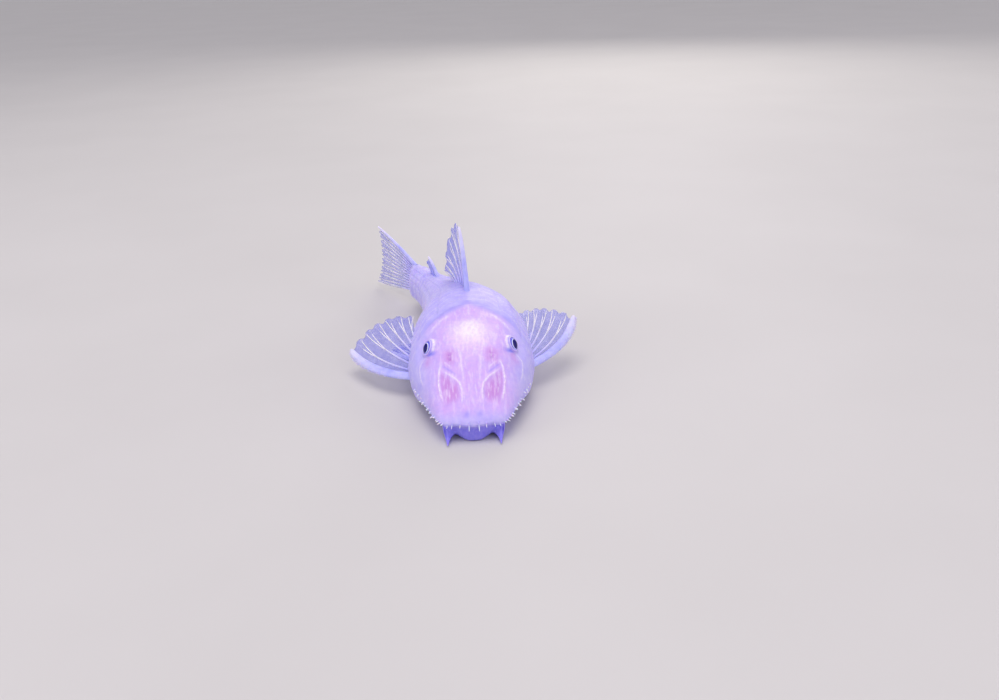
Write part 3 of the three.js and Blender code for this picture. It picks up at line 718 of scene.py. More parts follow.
def head_marks(left):
    """How far the ridges and furrows of the left half stand out, and the tints pink and pale. The pale
    takes in a painted highlight along the skull's edge
    """
    above = smooth(2.6, 3.6, left[..., 2])
    rise = np.zeros(above.shape)
    pale = np.zeros(above.shape)
    for path, height, width, tone in PALE_LINES:
        line = near_line(left, on_back(path), width, 0.25, 0.75, 0.15) * above
        rise += height * line
        pale = np.maximum(pale, line * tone)
    for path in SKULL_SEAMS:
        rise -= 0.04 * near_line(left, on_back(path), 0.12) * above
    rise -= 0.16 * near_line(left, body_point(GILL[:, 0], np.radians(GILL[:, 1])), 0.16, 0.2, 0.8)
    pink = inside_share(left, SNOUT_PATCH, 0.7) * above
    rise -= 0.12 * pink
    for x, s, length in STREAKS:
        path = on_back([(x, s + length / 2), (x - 0.12, s - length / 2)])
        line = near_line(left, path, 0.09, 0.3, 0.7)
        rise += 0.03 * line
        pale = np.maximum(pale, 0.5 * line)
    for x, s in FOLDS:
        line = near_line(left, on_back([(x, s + 2.6), (x * 0.9, s - 2.4)]), 0.16, 0.4, 0.6)
        rise -= 0.035 * line
        pink = np.maximum(pink, 0.3 * line)
    x, s, apart = NOSTRIL
    for hole in on_back([(x, s - apart / 2), (x, s + apart / 2)]):
        distance = np.linalg.norm(left - hole, axis=-1)
        rise += 0.03 * hill(distance - 0.4, 0.14) - 0.26 * smooth(0.36, 0.08, distance)
        pink = np.maximum(pink, 0.85 * smooth(1.9, 0.1, distance))
    rise += 0.16 * near_line(left, on_back([(x - 0.36, s), (x + 0.36, s + 0.05)]), 0.13)
    blush = np.linalg.norm(left - on_back([BLUSH])[0], axis=-1)
    return rise, np.maximum(pink, 0.6 * hill(blush, 1.0)), pale


def head_surface(s, angle):
    """The head's skin at a section angle and distance: its points, and how strongly the tints pink,
    pale (with painted highlights on the eye's lid and the skull's edge) and painted shade (with a
    blue dot near the snout's tip) show there"""
    s, angle = np.broadcast_arrays(np.asarray(s, float), np.asarray(angle, float))
    base = body_point(s, angle)
    side = np.where(base[..., :1] < 0, [-1, 1, 1], [1, 1, 1])
    left = base * side
    rise, pink, pale = head_marks(left)
    skin_at = slimmed(base + rise[..., None] * body_normal(s, angle)) * side

    centre, axis, across, up = eye_frame()
    away = skin_at - centre
    distance = np.linalg.norm(away, axis=-1)
    cosine = np.clip((away @ axis) / distance, -1, 1)
    degrees = np.degrees(np.arccos(cosine))
    folds = 0.015 * hill(degrees - 47, 3.438) - 0.035 * hill(degrees - 54, 4.011)
    folds = folds + 0.04 * hill(degrees - 66, 7.448)
    dip = np.maximum(distance - LID_RADIUS, 0) * smooth(92, 52, degrees)
    domed = round_max(distance, LID_RADIUS, 0.3) - dip + folds * smooth(2.6, 2.1, distance)
    near = smooth(3.4, 3.0, distance)
    skin_at = centre + away * (1 + near * (domed / distance - 1))[..., None]

    round_axis = unit(away / distance[..., None] - cosine[..., None] * axis)
    inner = round_axis @ unit(axis[0] * axis - [1, 0, 0])
    upper = round_axis @ up
    inward = smooth(-0.3, 0.5, inner)
    # A pale lid edge, and a painted highlight on the lid's upper inner side
    lid_pale_and_highlight = inward * (0.25 * hill(degrees - 46, 3) + smooth(-0.3, 0.4, upper) * hill(degrees - 64, 9))
    # Painted shade in the lid's groove and under its lower inner side
    below = smooth(-0.6, 0.2, inner) * smooth(0.35, -0.3, upper)
    below = below * smooth(52, 60, degrees) * smooth(96, 76, degrees)
    lid_shade = np.minimum(0.8 * inward * hill(degrees - 52, 3.5) + below, 1)
    pale = np.maximum(pale, lid_pale_and_highlight * smooth(2.4, 1.9, distance))
    from_dot = np.linalg.norm(left - on_back([NOSE_DOT])[0], axis=-1)
    # Painted shade under the lid, in the snout's groove and along the snout's low sides, and a blue dot near
    # the snout's tip
    blue = np.max([
        lid_shade * smooth(2.9, 2.0, distance),
        0.45 * near_line(left, on_back(SNOUT_GROOVE), 0.16, 0.2, 0.6),
        0.5 * hill(from_dot, 0.5),
        0.4 * smooth(2.9, 2.3, left[..., 2]) * smooth(13.5, 8.5, s),
    ], axis=0)
    return skin_at * side, np.stack([pink, pale, blue], -1)


def params_towards(centre, directions, s, angle):
    """Where rays from a centre meet the body, found by steps from a first guess"""
    s = np.full(len(directions), float(s))
    angle = np.full(len(directions), float(angle))

    def miss(s, angle):
        away = body_point(s, angle) - centre
        return away - dot(away, directions)[:, None] * directions

    for _ in range(SOLVER_STEPS):
        here = miss(s, angle)
        by_s = (miss(s + 1e-3, angle) - here) / 1e-3
        by_angle = (miss(s, angle + 1e-4) - here) / 1e-4
        a, b, c = dot(by_s, by_s), dot(by_s, by_angle), dot(by_angle, by_angle)
        p, q = dot(by_s, here), dot(by_angle, here)
        s = s - np.clip((c * p - b * q) / (a * c - b * b), -0.5, 0.5)
        angle = angle - np.clip((a * q - b * p) / (a * c - b * b), -0.06, 0.06)
    return s, angle


def eye_patch(s, angle):
    """Rings of skin that close in from a loop of the head's grid to the lid's edge, and then turn
    in under the eyeball"""
    centre, axis, across, up = eye_frame()
    away = body_point(s, angle) - centre
    turn = np.unwrap(np.arctan2(away @ up, away @ across))
    even = turn[0] + np.sign(turn[-1] - turn[0]) * turns(len(turn))
    turn = 0.5 * turn + 0.5 * (even + (turn - even).mean())
    square = circle(turn, across, up)

    def towards(tilt):
        return math.cos(tilt) * axis + math.sin(tilt) * square

    first = EYE["s"], angle_at(EYE["x"], EYE["s"])
    edge_s, edge_angle = params_towards(centre, towards(LID_OPEN), *first)
    share = (np.arange(1, LID_RINGS + 1)[:, None] / LID_RINGS) ** 0.9
    rings, tints = head_surface(s + share * (edge_s - s), angle + share * (edge_angle - angle))
    reach = np.linalg.norm(rings[-1] - centre, axis=-1, keepdims=True)
    lip = []
    for tilt, inward in LID_EDGE:
        distance = reach - inward if inward < 0.2 else LID_RADIUS - inward
        lip.append(centre + distance * towards(LID_OPEN + math.radians(tilt)))
    lip_tints = np.broadcast_to(LID_EDGE_TINTS, np.shape(lip))
    return np.concatenate([rings, lip]), np.concatenate([tints, lip_tints]), centre + 1.2 * axis


def gap_border(row, column):
    """The rows and columns of the head's grid along the border of the gap for an eye's patch"""
    rows, columns = LID_PATCH
    i = np.arange(-rows, rows)
    j = np.arange(-columns, columns)
    down = np.concatenate([0 * j - rows, i, 0 * j + rows, -i])
    across = np.concatenate([j, 0 * i + columns, -j, 0 * i - columns])
    return row + down, column + across


def plate_relief(share_along, angle):
    """The rise of a plate from its front edge to its rear one, with grooves between the rows"""
    folded = np.where(angle > np.pi / 2, np.pi - angle, angle)
    row = np.clip(np.searchsorted(ROW_EDGES, folded, side="right") - 1, 0, len(ROW_LINES) - 1)
    share = (folded - ROW_EDGES[row]) / (ROW_EDGES[row + 1] - ROW_EDGES[row])
    across = np.clip(4 * share * (1 - share), 0, 1)
    on_plate = row > 0
    back = (row == len(ROW_LINES) - 1) & (share > 0.5)
    body = np.where(back, 1 - 0.4 * share, across**0.3) * on_plate
    keel = 0.05 * hill(share - 0.5, 0.07) * on_plate
    return (PLATE_RISE + keel) * share_along * body, across * on_plate


def plate_place(steps, angle):
    """How far back a place on the plates is, and how far it stands out of the smooth body. The
    whole part of steps is the column and the rest is the share along its plates."""
    middle = plate_relief(1.0, angle)[1]
    ends = smooth(0, 1, steps) * smooth(PLATE_COLUMNS, PLATE_COLUMNS - 1, steps)
    start = neck_at(angle) + SKIN_GAP
    s = start + (PLATES_END - start) * (steps + PLATE_SCALLOP * middle * ends) / PLATE_COLUMNS
    return s, plate_relief((steps % 1) ** 0.9, angle)[0]


def trunk_grid(coarse):
    """The trunk's skin, whose lines lie along the plates, and its tints"""
    steps = np.array([c + t for c in range(PLATE_COLUMNS) for t in COLUMN_LINES] + [PLATE_COLUMNS])
    s, rise = plate_place(steps[:, None], coarse)
    stem = np.broadcast_to(STEM_RINGS[:, None], (len(STEM_RINGS), len(coarse)))
    s = np.concatenate([s, STEM_END - stem])
    rise = np.concatenate([rise, 0 * stem])
    points = body_point(s, coarse) + rise[..., None] * body_normal(s, coarse)
    points[..., 0] *= stem_taper(s)
    along = np.concatenate([steps % 1, 0 * STEM_RINGS])[:, None]
    pale = 0.22 * smooth(0.7, 0.97, along) * (rise > 0.08)
    return points, pale[..., None] * [0, 1, 0]


def skin():
    """One skin from the snout to the tail stem's end: a fine grid on the head with a patch of
    rings round each eye, and a coarser grid behind it"""
    fine = lines_round(2)
    coarse = lines_round(1)
    around = len(fine)
    share = ((np.arange(HEAD_LINES) + 1) / HEAD_LINES) ** 1.5
    head_s = share[:, None] * (neck_at(fine) - SKIN_GAP)
    head, head_tints = head_surface(head_s, fine)
    step = HEAD_STEP * smooth(0.9, 1.0, share)[:, None] * smooth(-0.6, 0.1, np.sin(fine))
    head = head + step[..., None] * body_normal(head_s, fine)
    trunk, trunk_tints = trunk_grid(coarse)
    poles = slimmed(np.array([[0, 0, widest(0)], [0, STEM_END, widest(STEM_END)]]))
    points = [head, trunk, poles]
    tints = [head_tints, trunk_tints, 0 * poles]

    first = HEAD_LINES * around + np.arange(len(coarse))
    follow = np.roll(first, -1)
    last = first[0] - around + np.arange(around)
    even, odd = last[0::2], last[1::2]
    bridge = [(even, odd, first), (odd, follow, first), (odd, np.roll(even, -1), follow)]
    nose = first[0] + trunk[..., 0].size
    patches = []
    kept = np.ones((HEAD_LINES - 1, around), bool)
    count = nose + 2
    for side in SIDES:
        column = np.argmin(np.abs(fine - angle_at(side * EYE["x"], EYE["s"])))
        row = np.argmin(np.abs(head_s[:, column] - EYE["s"]))
        rows, columns = LID_PATCH
        kept[row - rows : row + rows, column - columns : column + columns] = False
        i, j = gap_border(row, column)
        rings, ring_tints, hub = eye_patch(head_s[i, j], fine[j] if side > 0 else np.pi - fine[j])
        outer = i * around + j
        size = len(outer)
        inner = count + np.arange(size)
        hub_index = count + len(rings) * size
        patches += [
            np.stack([outer, np.roll(outer, -1), np.roll(inner, -1), inner], -1),
            ring_quads(len(rings), size, count),
            ring_fan(hub_index, hub_index - size, size),
        ]
        points += [rings * [side, 1, 1], hub * [side, 1, 1]]
        tints += [ring_tints, 0 * hub]
        count = hub_index + 1
    faces = [
        ring_quads(HEAD_LINES, around)[kept.ravel()],
        *(np.stack(corners, -1) for corners in bridge),
        ring_quads(len(trunk), len(coarse), first[0]),
        ring_fan(nose, 0, around)[:, ::-1],
        ring_fan(nose + 1, nose - len(coarse), len(coarse)),
        *patches,
    ]
    points = np.concatenate([block.reshape(-1, 3) for block in points])
    tints = np.concatenate([block.reshape(-1, 3) for block in tints])
    used = np.zeros(len(points), bool)
    for block in faces:
        used[block] = True
    faces = [(np.cumsum(used) - 1)[block] for block in faces]
    points, tints = points[used], tints[used]
    points[:, 2] = np.maximum(points[:, 2], 0)
    surface = Surface()
    surface.add(points, faces, **all_tints(points, *tints.T))
    make_piece("skin", surface, skin_material(), ["head", "trunk", "tail_stem"])


def all_tints(points, pink, pale, blue):
    """The tints of the marks, and those of whole parts of the head: its warm forehead, lighter on its
    top partly as painted light, a painted highlight on its very top, its pinker middle, and painted
    shade in the fold where the trunk begins"""
    x, s, z = points.T
    across = np.abs(x)
    border = np.interp(across, *zip(*HEAD_BORDER))
    on_head = smooth(border + 0.8, border - 1.6, s)
    # The forehead's warm tint, lighter on its top partly as painted light
    warm_and_lit = smooth(4.0, 7.0, z) * smooth(5.6, 0.6, across) * smooth(8.0, 12.5, s) * on_head
    # Painted shade in the fold at the step where the trunk begins
    step_shade = 0.34 * hill(s - border - 0.1, 0.75) * smooth(5, 8, z) * smooth(9, 6.5, across)
    return {
        "warm_and_lit": warm_and_lit * (1 - 0.9 * smooth(14.5, 18.0, s)),
        # A painted highlight on the head's very top
        "painted_highlight": 0.8 * hill(x, 2.3) * smooth(10.8, 14.2, s) * smooth(18.2, 15.6, s) * smooth(6, 8, z),
        "snout": smooth(2.5, 4.5, z) * smooth(8.4, 4.0, across) * smooth(-0.5, 2.5, s) * on_head,
        "pink": pink,
        "pale": pale,
        # Painted shade and the blue dot, with painted shade in the fold where the trunk begins
        "blue": np.maximum(blue, step_shade),
    }


# Eyes


def eyes():
    """Glossy eyeballs, in rings round the way they look"""
    material = eye_material()
    degrees = np.concatenate([np.linspace(*band) for band in EYE_BANDS])
    tilt = np.radians(degrees)[:, None, None]
    radius = EYE["radius"] - 0.07 + 0.07 * smooth(50, 15, degrees)
    turn = turns(EYE_LINES)
    below = hill((turn + 1.5 * np.pi) % (2 * np.pi) - np.pi, 0.45)
    shape = degrees[:, None] - 6 * below
    for side, word in SIDES.items():
        gaze = unit(np.array(GAZE) * [side, 1, 1])
        ring = circle(turn, *square_to(gaze))
        rings = eye_at(side) + radius[:, None, None] * (np.cos(tilt) * gaze + np.sin(tilt) * ring)
        inward = smooth(-0.1, 0.6, -side * ring[:, 0])
        marks = {
            "pupil": smooth(30.5, 29, shape),
            "rim": 0.9 * smooth(30, 31.5, shape) * smooth(36, 33, shape) * (0.1 + 0.9 * inward),
            "deep": smooth(35, 39, shape) * smooth(62, 50, shape),
        }
        marks = {name: np.append(values, [name == "pupil", 0]) for name, values in marks.items()}
        surface = Surface()
        ends = eye_at(side) + gaze * radius[0], eye_at(side) - gaze * radius[-1]
        surface.add(*loft(rings, *ends), **marks)
        make_piece(f"eyeball_{word}", surface, material, [f"eye_{word}"])


# Mouth


def closed_curve(half, steps=14):
    """A smooth closed curve through points of its left half, mirrored to the right"""
    half = np.array(half, float)
    knots = np.concatenate([half, (half * [-1, 1, 1])[-2:0:-1]])
    t = (np.arange(steps) / steps)[:, None]
    a, b, c, d = (np.roll(knots, shift, axis=0)[:, None] for shift in (1, 0, -1, -2))
    bow = 2 * b + (c - a) * t + (2 * a - 5 * b + 4 * c - d) * t**2 + (3 * b - a - 3 * c + d) * t**3
    return (bow / 2).reshape(-1, 3)


def lips():
    """The sucker: lips round an open mouth, with a barbel drawn out of each front corner"""
    upper, edge, floor, sole = (closed_curve(half) for half in (LIP_TOP, LIP_EDGE, LIP_FLOOR, LIP_SOLE))
    count = len(upper)
    barbel = smooth(0.4, -1.4, edge[:, 1:2])
    k = np.arange(count)[:, None]
    wave = 0.02 * np.sin(k * 0.55 + 1.2 * np.sin(k * 0.11))
    rings = [MOUTH_CENTRE + (upper - MOUTH_CENTRE) * [size, size, 1] + [0, 0, z] for size, z in LIP_CAP]
    for t in np.linspace(0, 1, 22):
        bent_share = t ** (1 + 0.9 * barbel)
        ring = upper + (edge - upper) * np.concatenate([bent_share, bent_share, 0 * barbel + t], 1)
        out = unit((ring - MOUTH_CENTRE) * [1, 1, 0])
        rings.append(ring + (0.1 + wave) * math.sin(math.pi * t) * (1 - barbel) * out)
    for t in np.linspace(0, 1, 8)[1:]:
        plan = (math.cos(t * math.pi / 2) + 1 - t) / 2
        height = (2 - math.sin(t * math.pi / 2) - t) / 2
        rings.append(floor + (edge - floor) * [plan, plan, height])
    half, length, middle = MOUTH_OVAL
    turn = np.arctan2(sole[:, 0], middle - sole[:, 1])
    oval = np.stack([half * np.sin(turn), middle - length * np.cos(turn), sole[:, 2]], -1)
    rings += [floor + (sole - floor) * share for share in (0.2, 0.45, 0.7, 1.0)]
    rings += [sole + (oval - sole) * share for share in (0.3, 0.65, 1.0)]
    rings += [MOUTH_HUB + (oval - MOUTH_HUB) * [size, size * 0.85, 0] + [0, 0, z] for size, z in MOUTH_RINGS]
    rings = np.array(rings)
    rings[..., 2] = np.maximum(rings[..., 2], 0)
    points, faces = loft(rings, MOUTH_CENTRE + [0, 0, 2.6], MOUTH_HUB + [0, 0, 1.3])
    inside = np.concatenate([np.zeros(len(rings) - 4), [0.3, 0.6, 0.9, 1.0]])
    # Where the lips take painted shade: their front, under the snout's edge
    front = smooth(4.0, 1.4, points[:, 1]) * smooth(2.5, 1.9, points[:, 2])
    surface = Surface()
    surface.add(points, faces, front=front, inside=np.append(np.repeat(inside, count), [0, 1]))
    make_piece("lips", surface, lip_material(), ["mouth_disc", "barbel_left", "barbel_right"])


# Bristles on the edge of the snout


def bristle(surface, s, side, height, direction, length, radius):
    """A short blunt bristle that grows from the section angle height, in degrees"""
    sides = 12
    droop = -0.06
    angle = math.radians(height if side > 0 else 180 - height)
    root = slimmed(body_point(s, angle)) + [0, 0.05, 0]
    out = length * unit(np.array(direction, float))
    share = np.array([-0.5, -0.2, 0.0, 0.1, 0.22, 0.4, 0.6, 0.8, 0.93])
    path = root + share[:, None] * out + (droop * share * np.abs(share))[:, None] * [0, 0, 1]
    width = radius * np.interp(share, *zip(*BRISTLE_SHAPE))
    rings = tube_rings(path, width, width, np.array([0.3, 0.2, 1.0]), sides)
    tone = np.append(np.repeat(np.clip(share, 0, 1), sides), [0, 1])
    turn = np.append(np.tile(np.arange(sides) / sides, len(share)), [0.5, 0.5])
    place = skin_place(np.array([s]), np.array([angle])) + 0.003 * np.stack([turn, tone], -1)
    surface.add(*loft(rings, path[0], root + out + [0, 0, droop]), share=tone, place=place)


def tentacles():
    """Bristles that point down from the front edge of the snout, and smaller ones that point
    outward along its sides"""
    surface = Surface()
    near = np.linspace(0, 1.4, 600) ** 2
    for k, (x, length) in enumerate(FRONT_BRISTLES):
        s = np.interp(abs(x), half_width(near), near)
        length = length * (1 + 0.08 * math.sin(5 * k))
        bristle(surface, s, x, 0, [0.1 * x, -0.7, -1.0], length, 0.08)
    for side in (-1, 1):
        for s, turn, length in CORNER_BRISTLES:
            bristle(surface, s, side, 4, [side * turn, -0.8, -0.1], length, 0.1)
        for k in range(SIDE_BRISTLES):
            share = (k + 0.3 * math.sin(5.1 * k + side)) / (SIDE_BRISTLES - 1)
            size = 1 + 0.35 * math.sin(4.3 * k + side)
            lean = -0.6 + 0.35 * share + 0.2 * math.sin(3.1 * k)
            direction = [side, lean, 0.3 * math.sin(1.9 * k) - 0.1]
            height = 1 + 3 * math.sin(2.7 * k)
            length = 0.38 * (1.1 - 0.4 * share) * size
            bristle(surface, 2.6 + share * 8.6, side, height, direction, length, 0.13 * size**0.5)
    make_piece("tentacles", surface, tentacle_material())


# Spines on the plates, the cheeks and the fins, and teeth


def skin_place(s, angle):
    """A point's place on an unwrap of the skin"""
    return np.stack([0.02 + 0.95 * (angle + np.pi / 2) / (2 * np.pi), 0.02 + 0.95 * s / (STEM_END + 2)], -1)


def skin_spines(surface, s, angle, rise, lean, length, radius, droop=0.0):
    """Spines that grow out of the skin and lie back over it"""
    out = body_normal(s, angle)
    back = unit(body_point(s + 0.1, angle) - body_point(s - 0.1, angle))
    roots = body_point(s, angle) + rise[:, None] * out
    roots[:, 0] *= stem_taper(s)
    spikes(surface, roots, unit(back + lean * out), length, radius, skin_place(s, angle), droop)


def plate_spines():
    """A row of spines along the rear edge of each plate and one down its middle, and a small brush
    of longer ones behind each cheek"""
    rng = np.random.default_rng(3)
    spines = []
    for low, high in zip(ROW_EDGES[1:-1], ROW_EDGES[2:]):
        for column in range(PLATE_COLUMNS):
            for share in np.linspace(0.1, 0.9, 7):
                spines.append((low + share * (high - low), column + 0.985, 0.2 * (0.8 + 0.4 * rng.random())))
            for along in (0.3, 0.52, 0.74):
                spines.append((low + 0.5 * (high - low), column + along, 0.13))
    angle, steps, length = np.array(spines).T
    angle = np.concatenate([angle, np.pi - angle])
    s, rise = plate_place(np.tile(steps, 2), angle)
    surface = Surface()
    skin_spines(surface, s, angle, rise - 0.02, 0.45, np.tile(length, 2), 0.034)
    k = np.arange(CHEEK_SPINES)
    s = 13.4 + 0.28 * (k % 6) + 0.05 * np.sin(7 * k)
    angle = np.radians(3 + 4.5 * (k // 6) + 1.2 * np.sin(5 * k))
    for here in (angle, np.pi - angle):
        skin_spines(surface, s, here, 0 * s - 0.03, 0.3, 0.34 + 0.1 * np.sin(3 * k), 0.045, 0.04)
    make_piece("odontodes", surface, SPINE_MATERIAL)


def teeth():
    surface = Surface()
    x = np.tile(np.linspace(0.2, 1.25, 12), 2) * np.repeat([1, -1], 12)
    for s, lean in ((4.35, -0.35), (5.7, 0.35)):
        roots = np.stack([x, s + 0.2 * np.abs(x) * np.sign(lean), 0 * x + 0.55], -1)
        outward = np.tile(unit(np.array([0, lean, -1])), (len(x), 1))
        place = np.stack([0.5 + 0.1 * x, 0 * x + 0.1 * s], -1)
        spikes(surface, roots, outward, 0.42, 0.045, place)
    make_piece("teeth", surface, SPINE_MATERIAL)


# Fins


class Fan:
    """A fan of rays, each a curve from a root to a tip that is pulled towards a third point. Any
    point of it is found by v across the rays, 0 on the first, and u along them."""

    def __init__(self, rays):
        self.rays = np.array(rays, float)
        self.last = len(rays) - 1

    def point(self, v, u):
        v, u = np.broadcast_arrays(np.asarray(v, float), np.asarray(u, float))
        i = np.clip(np.floor(v), 0, self.last - 1).astype(int)
        f = (v - i)[..., None, None]
        root, pull, tip = np.moveaxis((1 - f) * self.rays[i] + f * self.rays[i + 1], -2, 0)
        u = u[..., None]
        return root * (1 - u) ** 2 + 2 * pull * u * (1 - u) + tip * u * u

    def across(self, v, u):
        return unit(self.point(v + 0.05, u) - self.point(v - 0.05, u))

    def along(self, v, u):
        return unit(self.point(v, u + 0.01) - self.point(v, u - 0.01))


@dataclass
class Look:
    """How a fin looks, with widths in millimetres"""

    spine: float  # the half width of the first ray
    thick: float  # its half thickness
    shape: list  # its width along its length, as a share of the whole
    soft: float  # the half width of the soft rays
    forks: tuple = (0.5, 0.8)  # where they divide
    spread: tuple = (0.2, 0.06)  # how far apart the branches go
    inset: float = 0.05  # how far the first ray lies behind the fin's front edge
    edge: float = 0.0  # where the skin begins behind it
    root: float = 0.25  # how much thicker the skin is at its root
    trail: float = 0.3  # how far the skin reaches behind the last ray
    cloudy: bool = False

    def first_ray(self, u):
        """Its half width and half thickness at these shares of its length"""
        share = np.interp(u, *zip(*self.shape))
        return self.spine * share, self.thick * share**0.6


BLADE = [(0, 0.95), (0.3, 0.92), (0.6, 1.0), (0.82, 0.95), (0.93, 0.76), (0.98, 0.5), (1, 0.3)]
SPIKE = [(0, 1.35), (0.12, 1.1), (0.4, 0.85), (0.8, 0.6), (1, 0.3)]
PECTORAL_LOOK = Look(0.72, 0.36, BLADE, 0.17, (0.56, 0.84), (0.22, 0.05), inset=0.12, edge=0.12)
PELVIC_LOOK = Look(0.46, 0.32, BLADE, 0.17)
DORSAL_LOOK = Look(0.52, 0.44, SPIKE, 0.27, root=0.4, cloudy=True)
ADIPOSE_LOOK = Look(0.42, 0.3, SPIKE, 0.1, spread=(0.05, 0.02), trail=0.05, cloudy=True)
ANAL_LOOK = Look(0.34, 0.26, SPIKE, 0.15, spread=(0.18, 0.06))
CAUDAL_LOOK = Look(0.42, 0.3, SPIKE, 0.19, (0.4, 0.72), (0.22, 0.1))


def fan(count, first, last, tip_bulge=(0, 0, 0), pull_bulge=(0, 0, 0)):
    """Rays between a first and a last one, whose tips and pulls lie on bulging curves"""
    first, last = np.array(first, float), np.array(last, float)
    q = np.linspace(0, 1, count)[:, None, None]
    return first + q * (last - first) + 4 * q * (1 - q) * np.array([(0, 0, 0), pull_bulge, tip_bulge])


PECTORAL_LEFT = fan(
    7,
    [[7.4, 16.4, 4.0], [16.2, 21.6, 4.3], [17.9, 30.0, 7.3]],
    [[8.2, 19.2, 5.1], [9.0, 22.1, 8.1], [8.0, 27.6, 9.2]],
    [-0.1, 2.1, 0.5],
    [-0.6, 1.1, 1.2],
)
PECTORAL_RIGHT = [-1, 1, 1] * fan(
    7,
    [[7.4, 16.2, 3.7], [16.8, 18.5, 2.7], [20.4, 28.2, 3.6]],
    [[7.6, 19.4, 5.8], [9.8, 21.9, 9.0], [9.6, 27.1, 9.9]],
    [0.7, 1.9, 1.1],
    [-0.4, 1.1, 1.2],
)
PELVIC_LEFT = fan(
    6,
    [[5.2, 27.6, 0.4], [9.6, 31.0, 0.42], [13.0, 37.6, 0.4]],
    [[5.0, 30.0, 0.4], [6.7, 35.0, 0.42], [7.8, 40.4, 0.4]],
    [0.6, 1.2, 0],
)
ADIPOSE = fan(
    2,
    [[0, 50.2, 8.4], [0, 52.0, 10.6], [0, 54.6, 11.7]],
    [[0, 53.2, 8.2], [0, 54.4, 9.4], [0, 55.6, 10.4]],
)
ANAL = fan(
    5,
    [[0, 45.2, 2.6], [0, 47.6, 1.15], [0, 50.8, 0.42]],
    [[0, 48.6, 3.0], [0, 50.6, 1.75], [0, 53.4, 1.25]],
    [0, 0.5, -0.1],
)


def dorsal_rays():
    """The dorsal fin is half raised: its first rays stand up and its last ones lie back"""
    rays = []
    for k, q in enumerate(np.linspace(0, 1, 8)):
        fall = float(smooth(0.1, 0.85, q))
        lift = math.radians(66 * (1 - fall))
        length = 10.6 - 4.2 * fall + (-0.4 if k == 0 else 0.2)
        lean = -(0.4 + 0.8 * math.sin(math.pi * q))
        s = 26.8 + 12.6 * q
        base = np.array([0, s, float(top(s))])
        pull = 0.5 * length * np.array([0, math.cos(lift + 0.2), math.sin(lift + 0.2)])
        tip = length * np.array([0, math.cos(lift), math.sin(lift)])
        rays.append([base + [0, -0.3, -1.2], base + pull + [lean * 0.2, 0, 0], base + tip + [lean, 0, 0.35]])
    return rays


def caudal_rays():
    rays = []
    for q in np.linspace(0, 1, 14):
        side = 2 * q - 1
        tip_s = 73.6 + 1.5 * side**2 + 1.4 * side + (side**2 if side > 0 else 0)
        tip = [-0.9 + 0.3 * side, tip_s, 13.6 - 12.85 * q]
        rays.append([[0, 60.2, 8.2 - 5.0 * q], [0, 67, 10.9 - 9.0 * q], tip])
    return rays


def add_ray(surface, blades, v, u, half_across, half_up, sides, spine=0.0):
    """A tube through these places of the fan. Soft rays are jointed."""
    path = blades.point(v, u)
    if not spine:
        lengths = np.append(0, np.cumsum(np.linalg.norm(np.diff(path, axis=0), axis=1)))
        from_joint = (lengths + 0.2) % JOINT_LENGTH - JOINT_LENGTH / 2
        waist = 1 - 0.14 * hill(from_joint, 0.06) * smooth(0.3, 0.45, u)
        half_across, half_up = half_across * waist, half_up * waist
    rings = tube_rings(path, half_across, half_up, blades.across(v, u), sides)
    tip = path[-1] + 1.2 * half_up[-1] * unit(path[-1] - path[-2])
    share = np.append(np.repeat(u, sides), [u[0], 1.0])
    surface.add(*loft(rings, path[0], tip), share=share, spine=spine)


def ray_steps(blades, k, low, high, step=0.12):
    root, _, tip = blades.rays[k]
    count = int(np.linalg.norm(tip - root) * 1.1 * (high - low) / step)
    return np.linspace(low, high, max(5, count))


def apart(u, start, reach):
    """How far a branch that leaves at start has gone to its side"""
    return reach * np.clip((u - start) / (1 - start), 0, 1) ** 0.85


def add_rays(surface, blades, look):
    """A stout first ray shaped as a blade, and soft rays that divide in two and again near their
    tips"""
    u = ray_steps(blades, 0, 0.0, 0.99, 0.15)
    add_ray(surface, blades, look.inset * smooth(0, 0.5, u), u, *look.first_ray(u), 18, 1.0)
    wide, narrow = look.spread
    for k in range(1, blades.last + 1):
        first = look.forks[0] + 0.03 * math.sin(2.1 * k)
        second = look.forks[1] + 0.03 * math.sin(3.7 * k)
        u = ray_steps(blades, k, 0.0, first + 0.02)
        size = look.soft * np.interp(u, [0, 0.3, first], [1.15, 1.0, 0.8])
        add_ray(surface, blades, k + 0 * u, u, size, size, 8)
        for one in (-1, 1):
            u = ray_steps(blades, k, first, second + 0.01)
            size = look.soft * np.interp(u, [first, second], [0.66, 0.46])
            add_ray(surface, blades, k + one * apart(u, first, wide), u, size, size, 7)
            for two in (-1, 1):
                u = ray_steps(blades, k, second, 0.99 - 0.014 * (two + 1))
                size = look.soft * np.interp(u, [second, 1], [0.36, 0.1])
                v = k + one * apart(u, first, wide) + two * apart(u, second, narrow)
                add_ray(surface, blades, v, u, size, size, 6)


def add_sheet(surface, grid, reach):
    """A thin closed sheet: a face on each side of the grid, and an edge round it"""
    n, m = grid.shape[:2]
    both = np.stack([grid + reach, grid - reach])
    i, j = np.meshgrid(np.arange(n - 1) * m, np.arange(m - 1), indexing="ij")
    quad = np.stack([i + j, i + j + 1, i + j + m + 1, i + j + m], -1).reshape(-1, 4)
    index = np.arange(n * m).reshape(n, m)
    rim = np.concatenate([index[0], index[1:, -1], index[-1, -2::-1], index[-2:0:-1, 0]])
    after = np.roll(rim, -1)
    side = np.stack([rim, rim + n * m, after + n * m, after], -1)
    surface.add(both, [quad, quad[:, ::-1] + n * m, side])


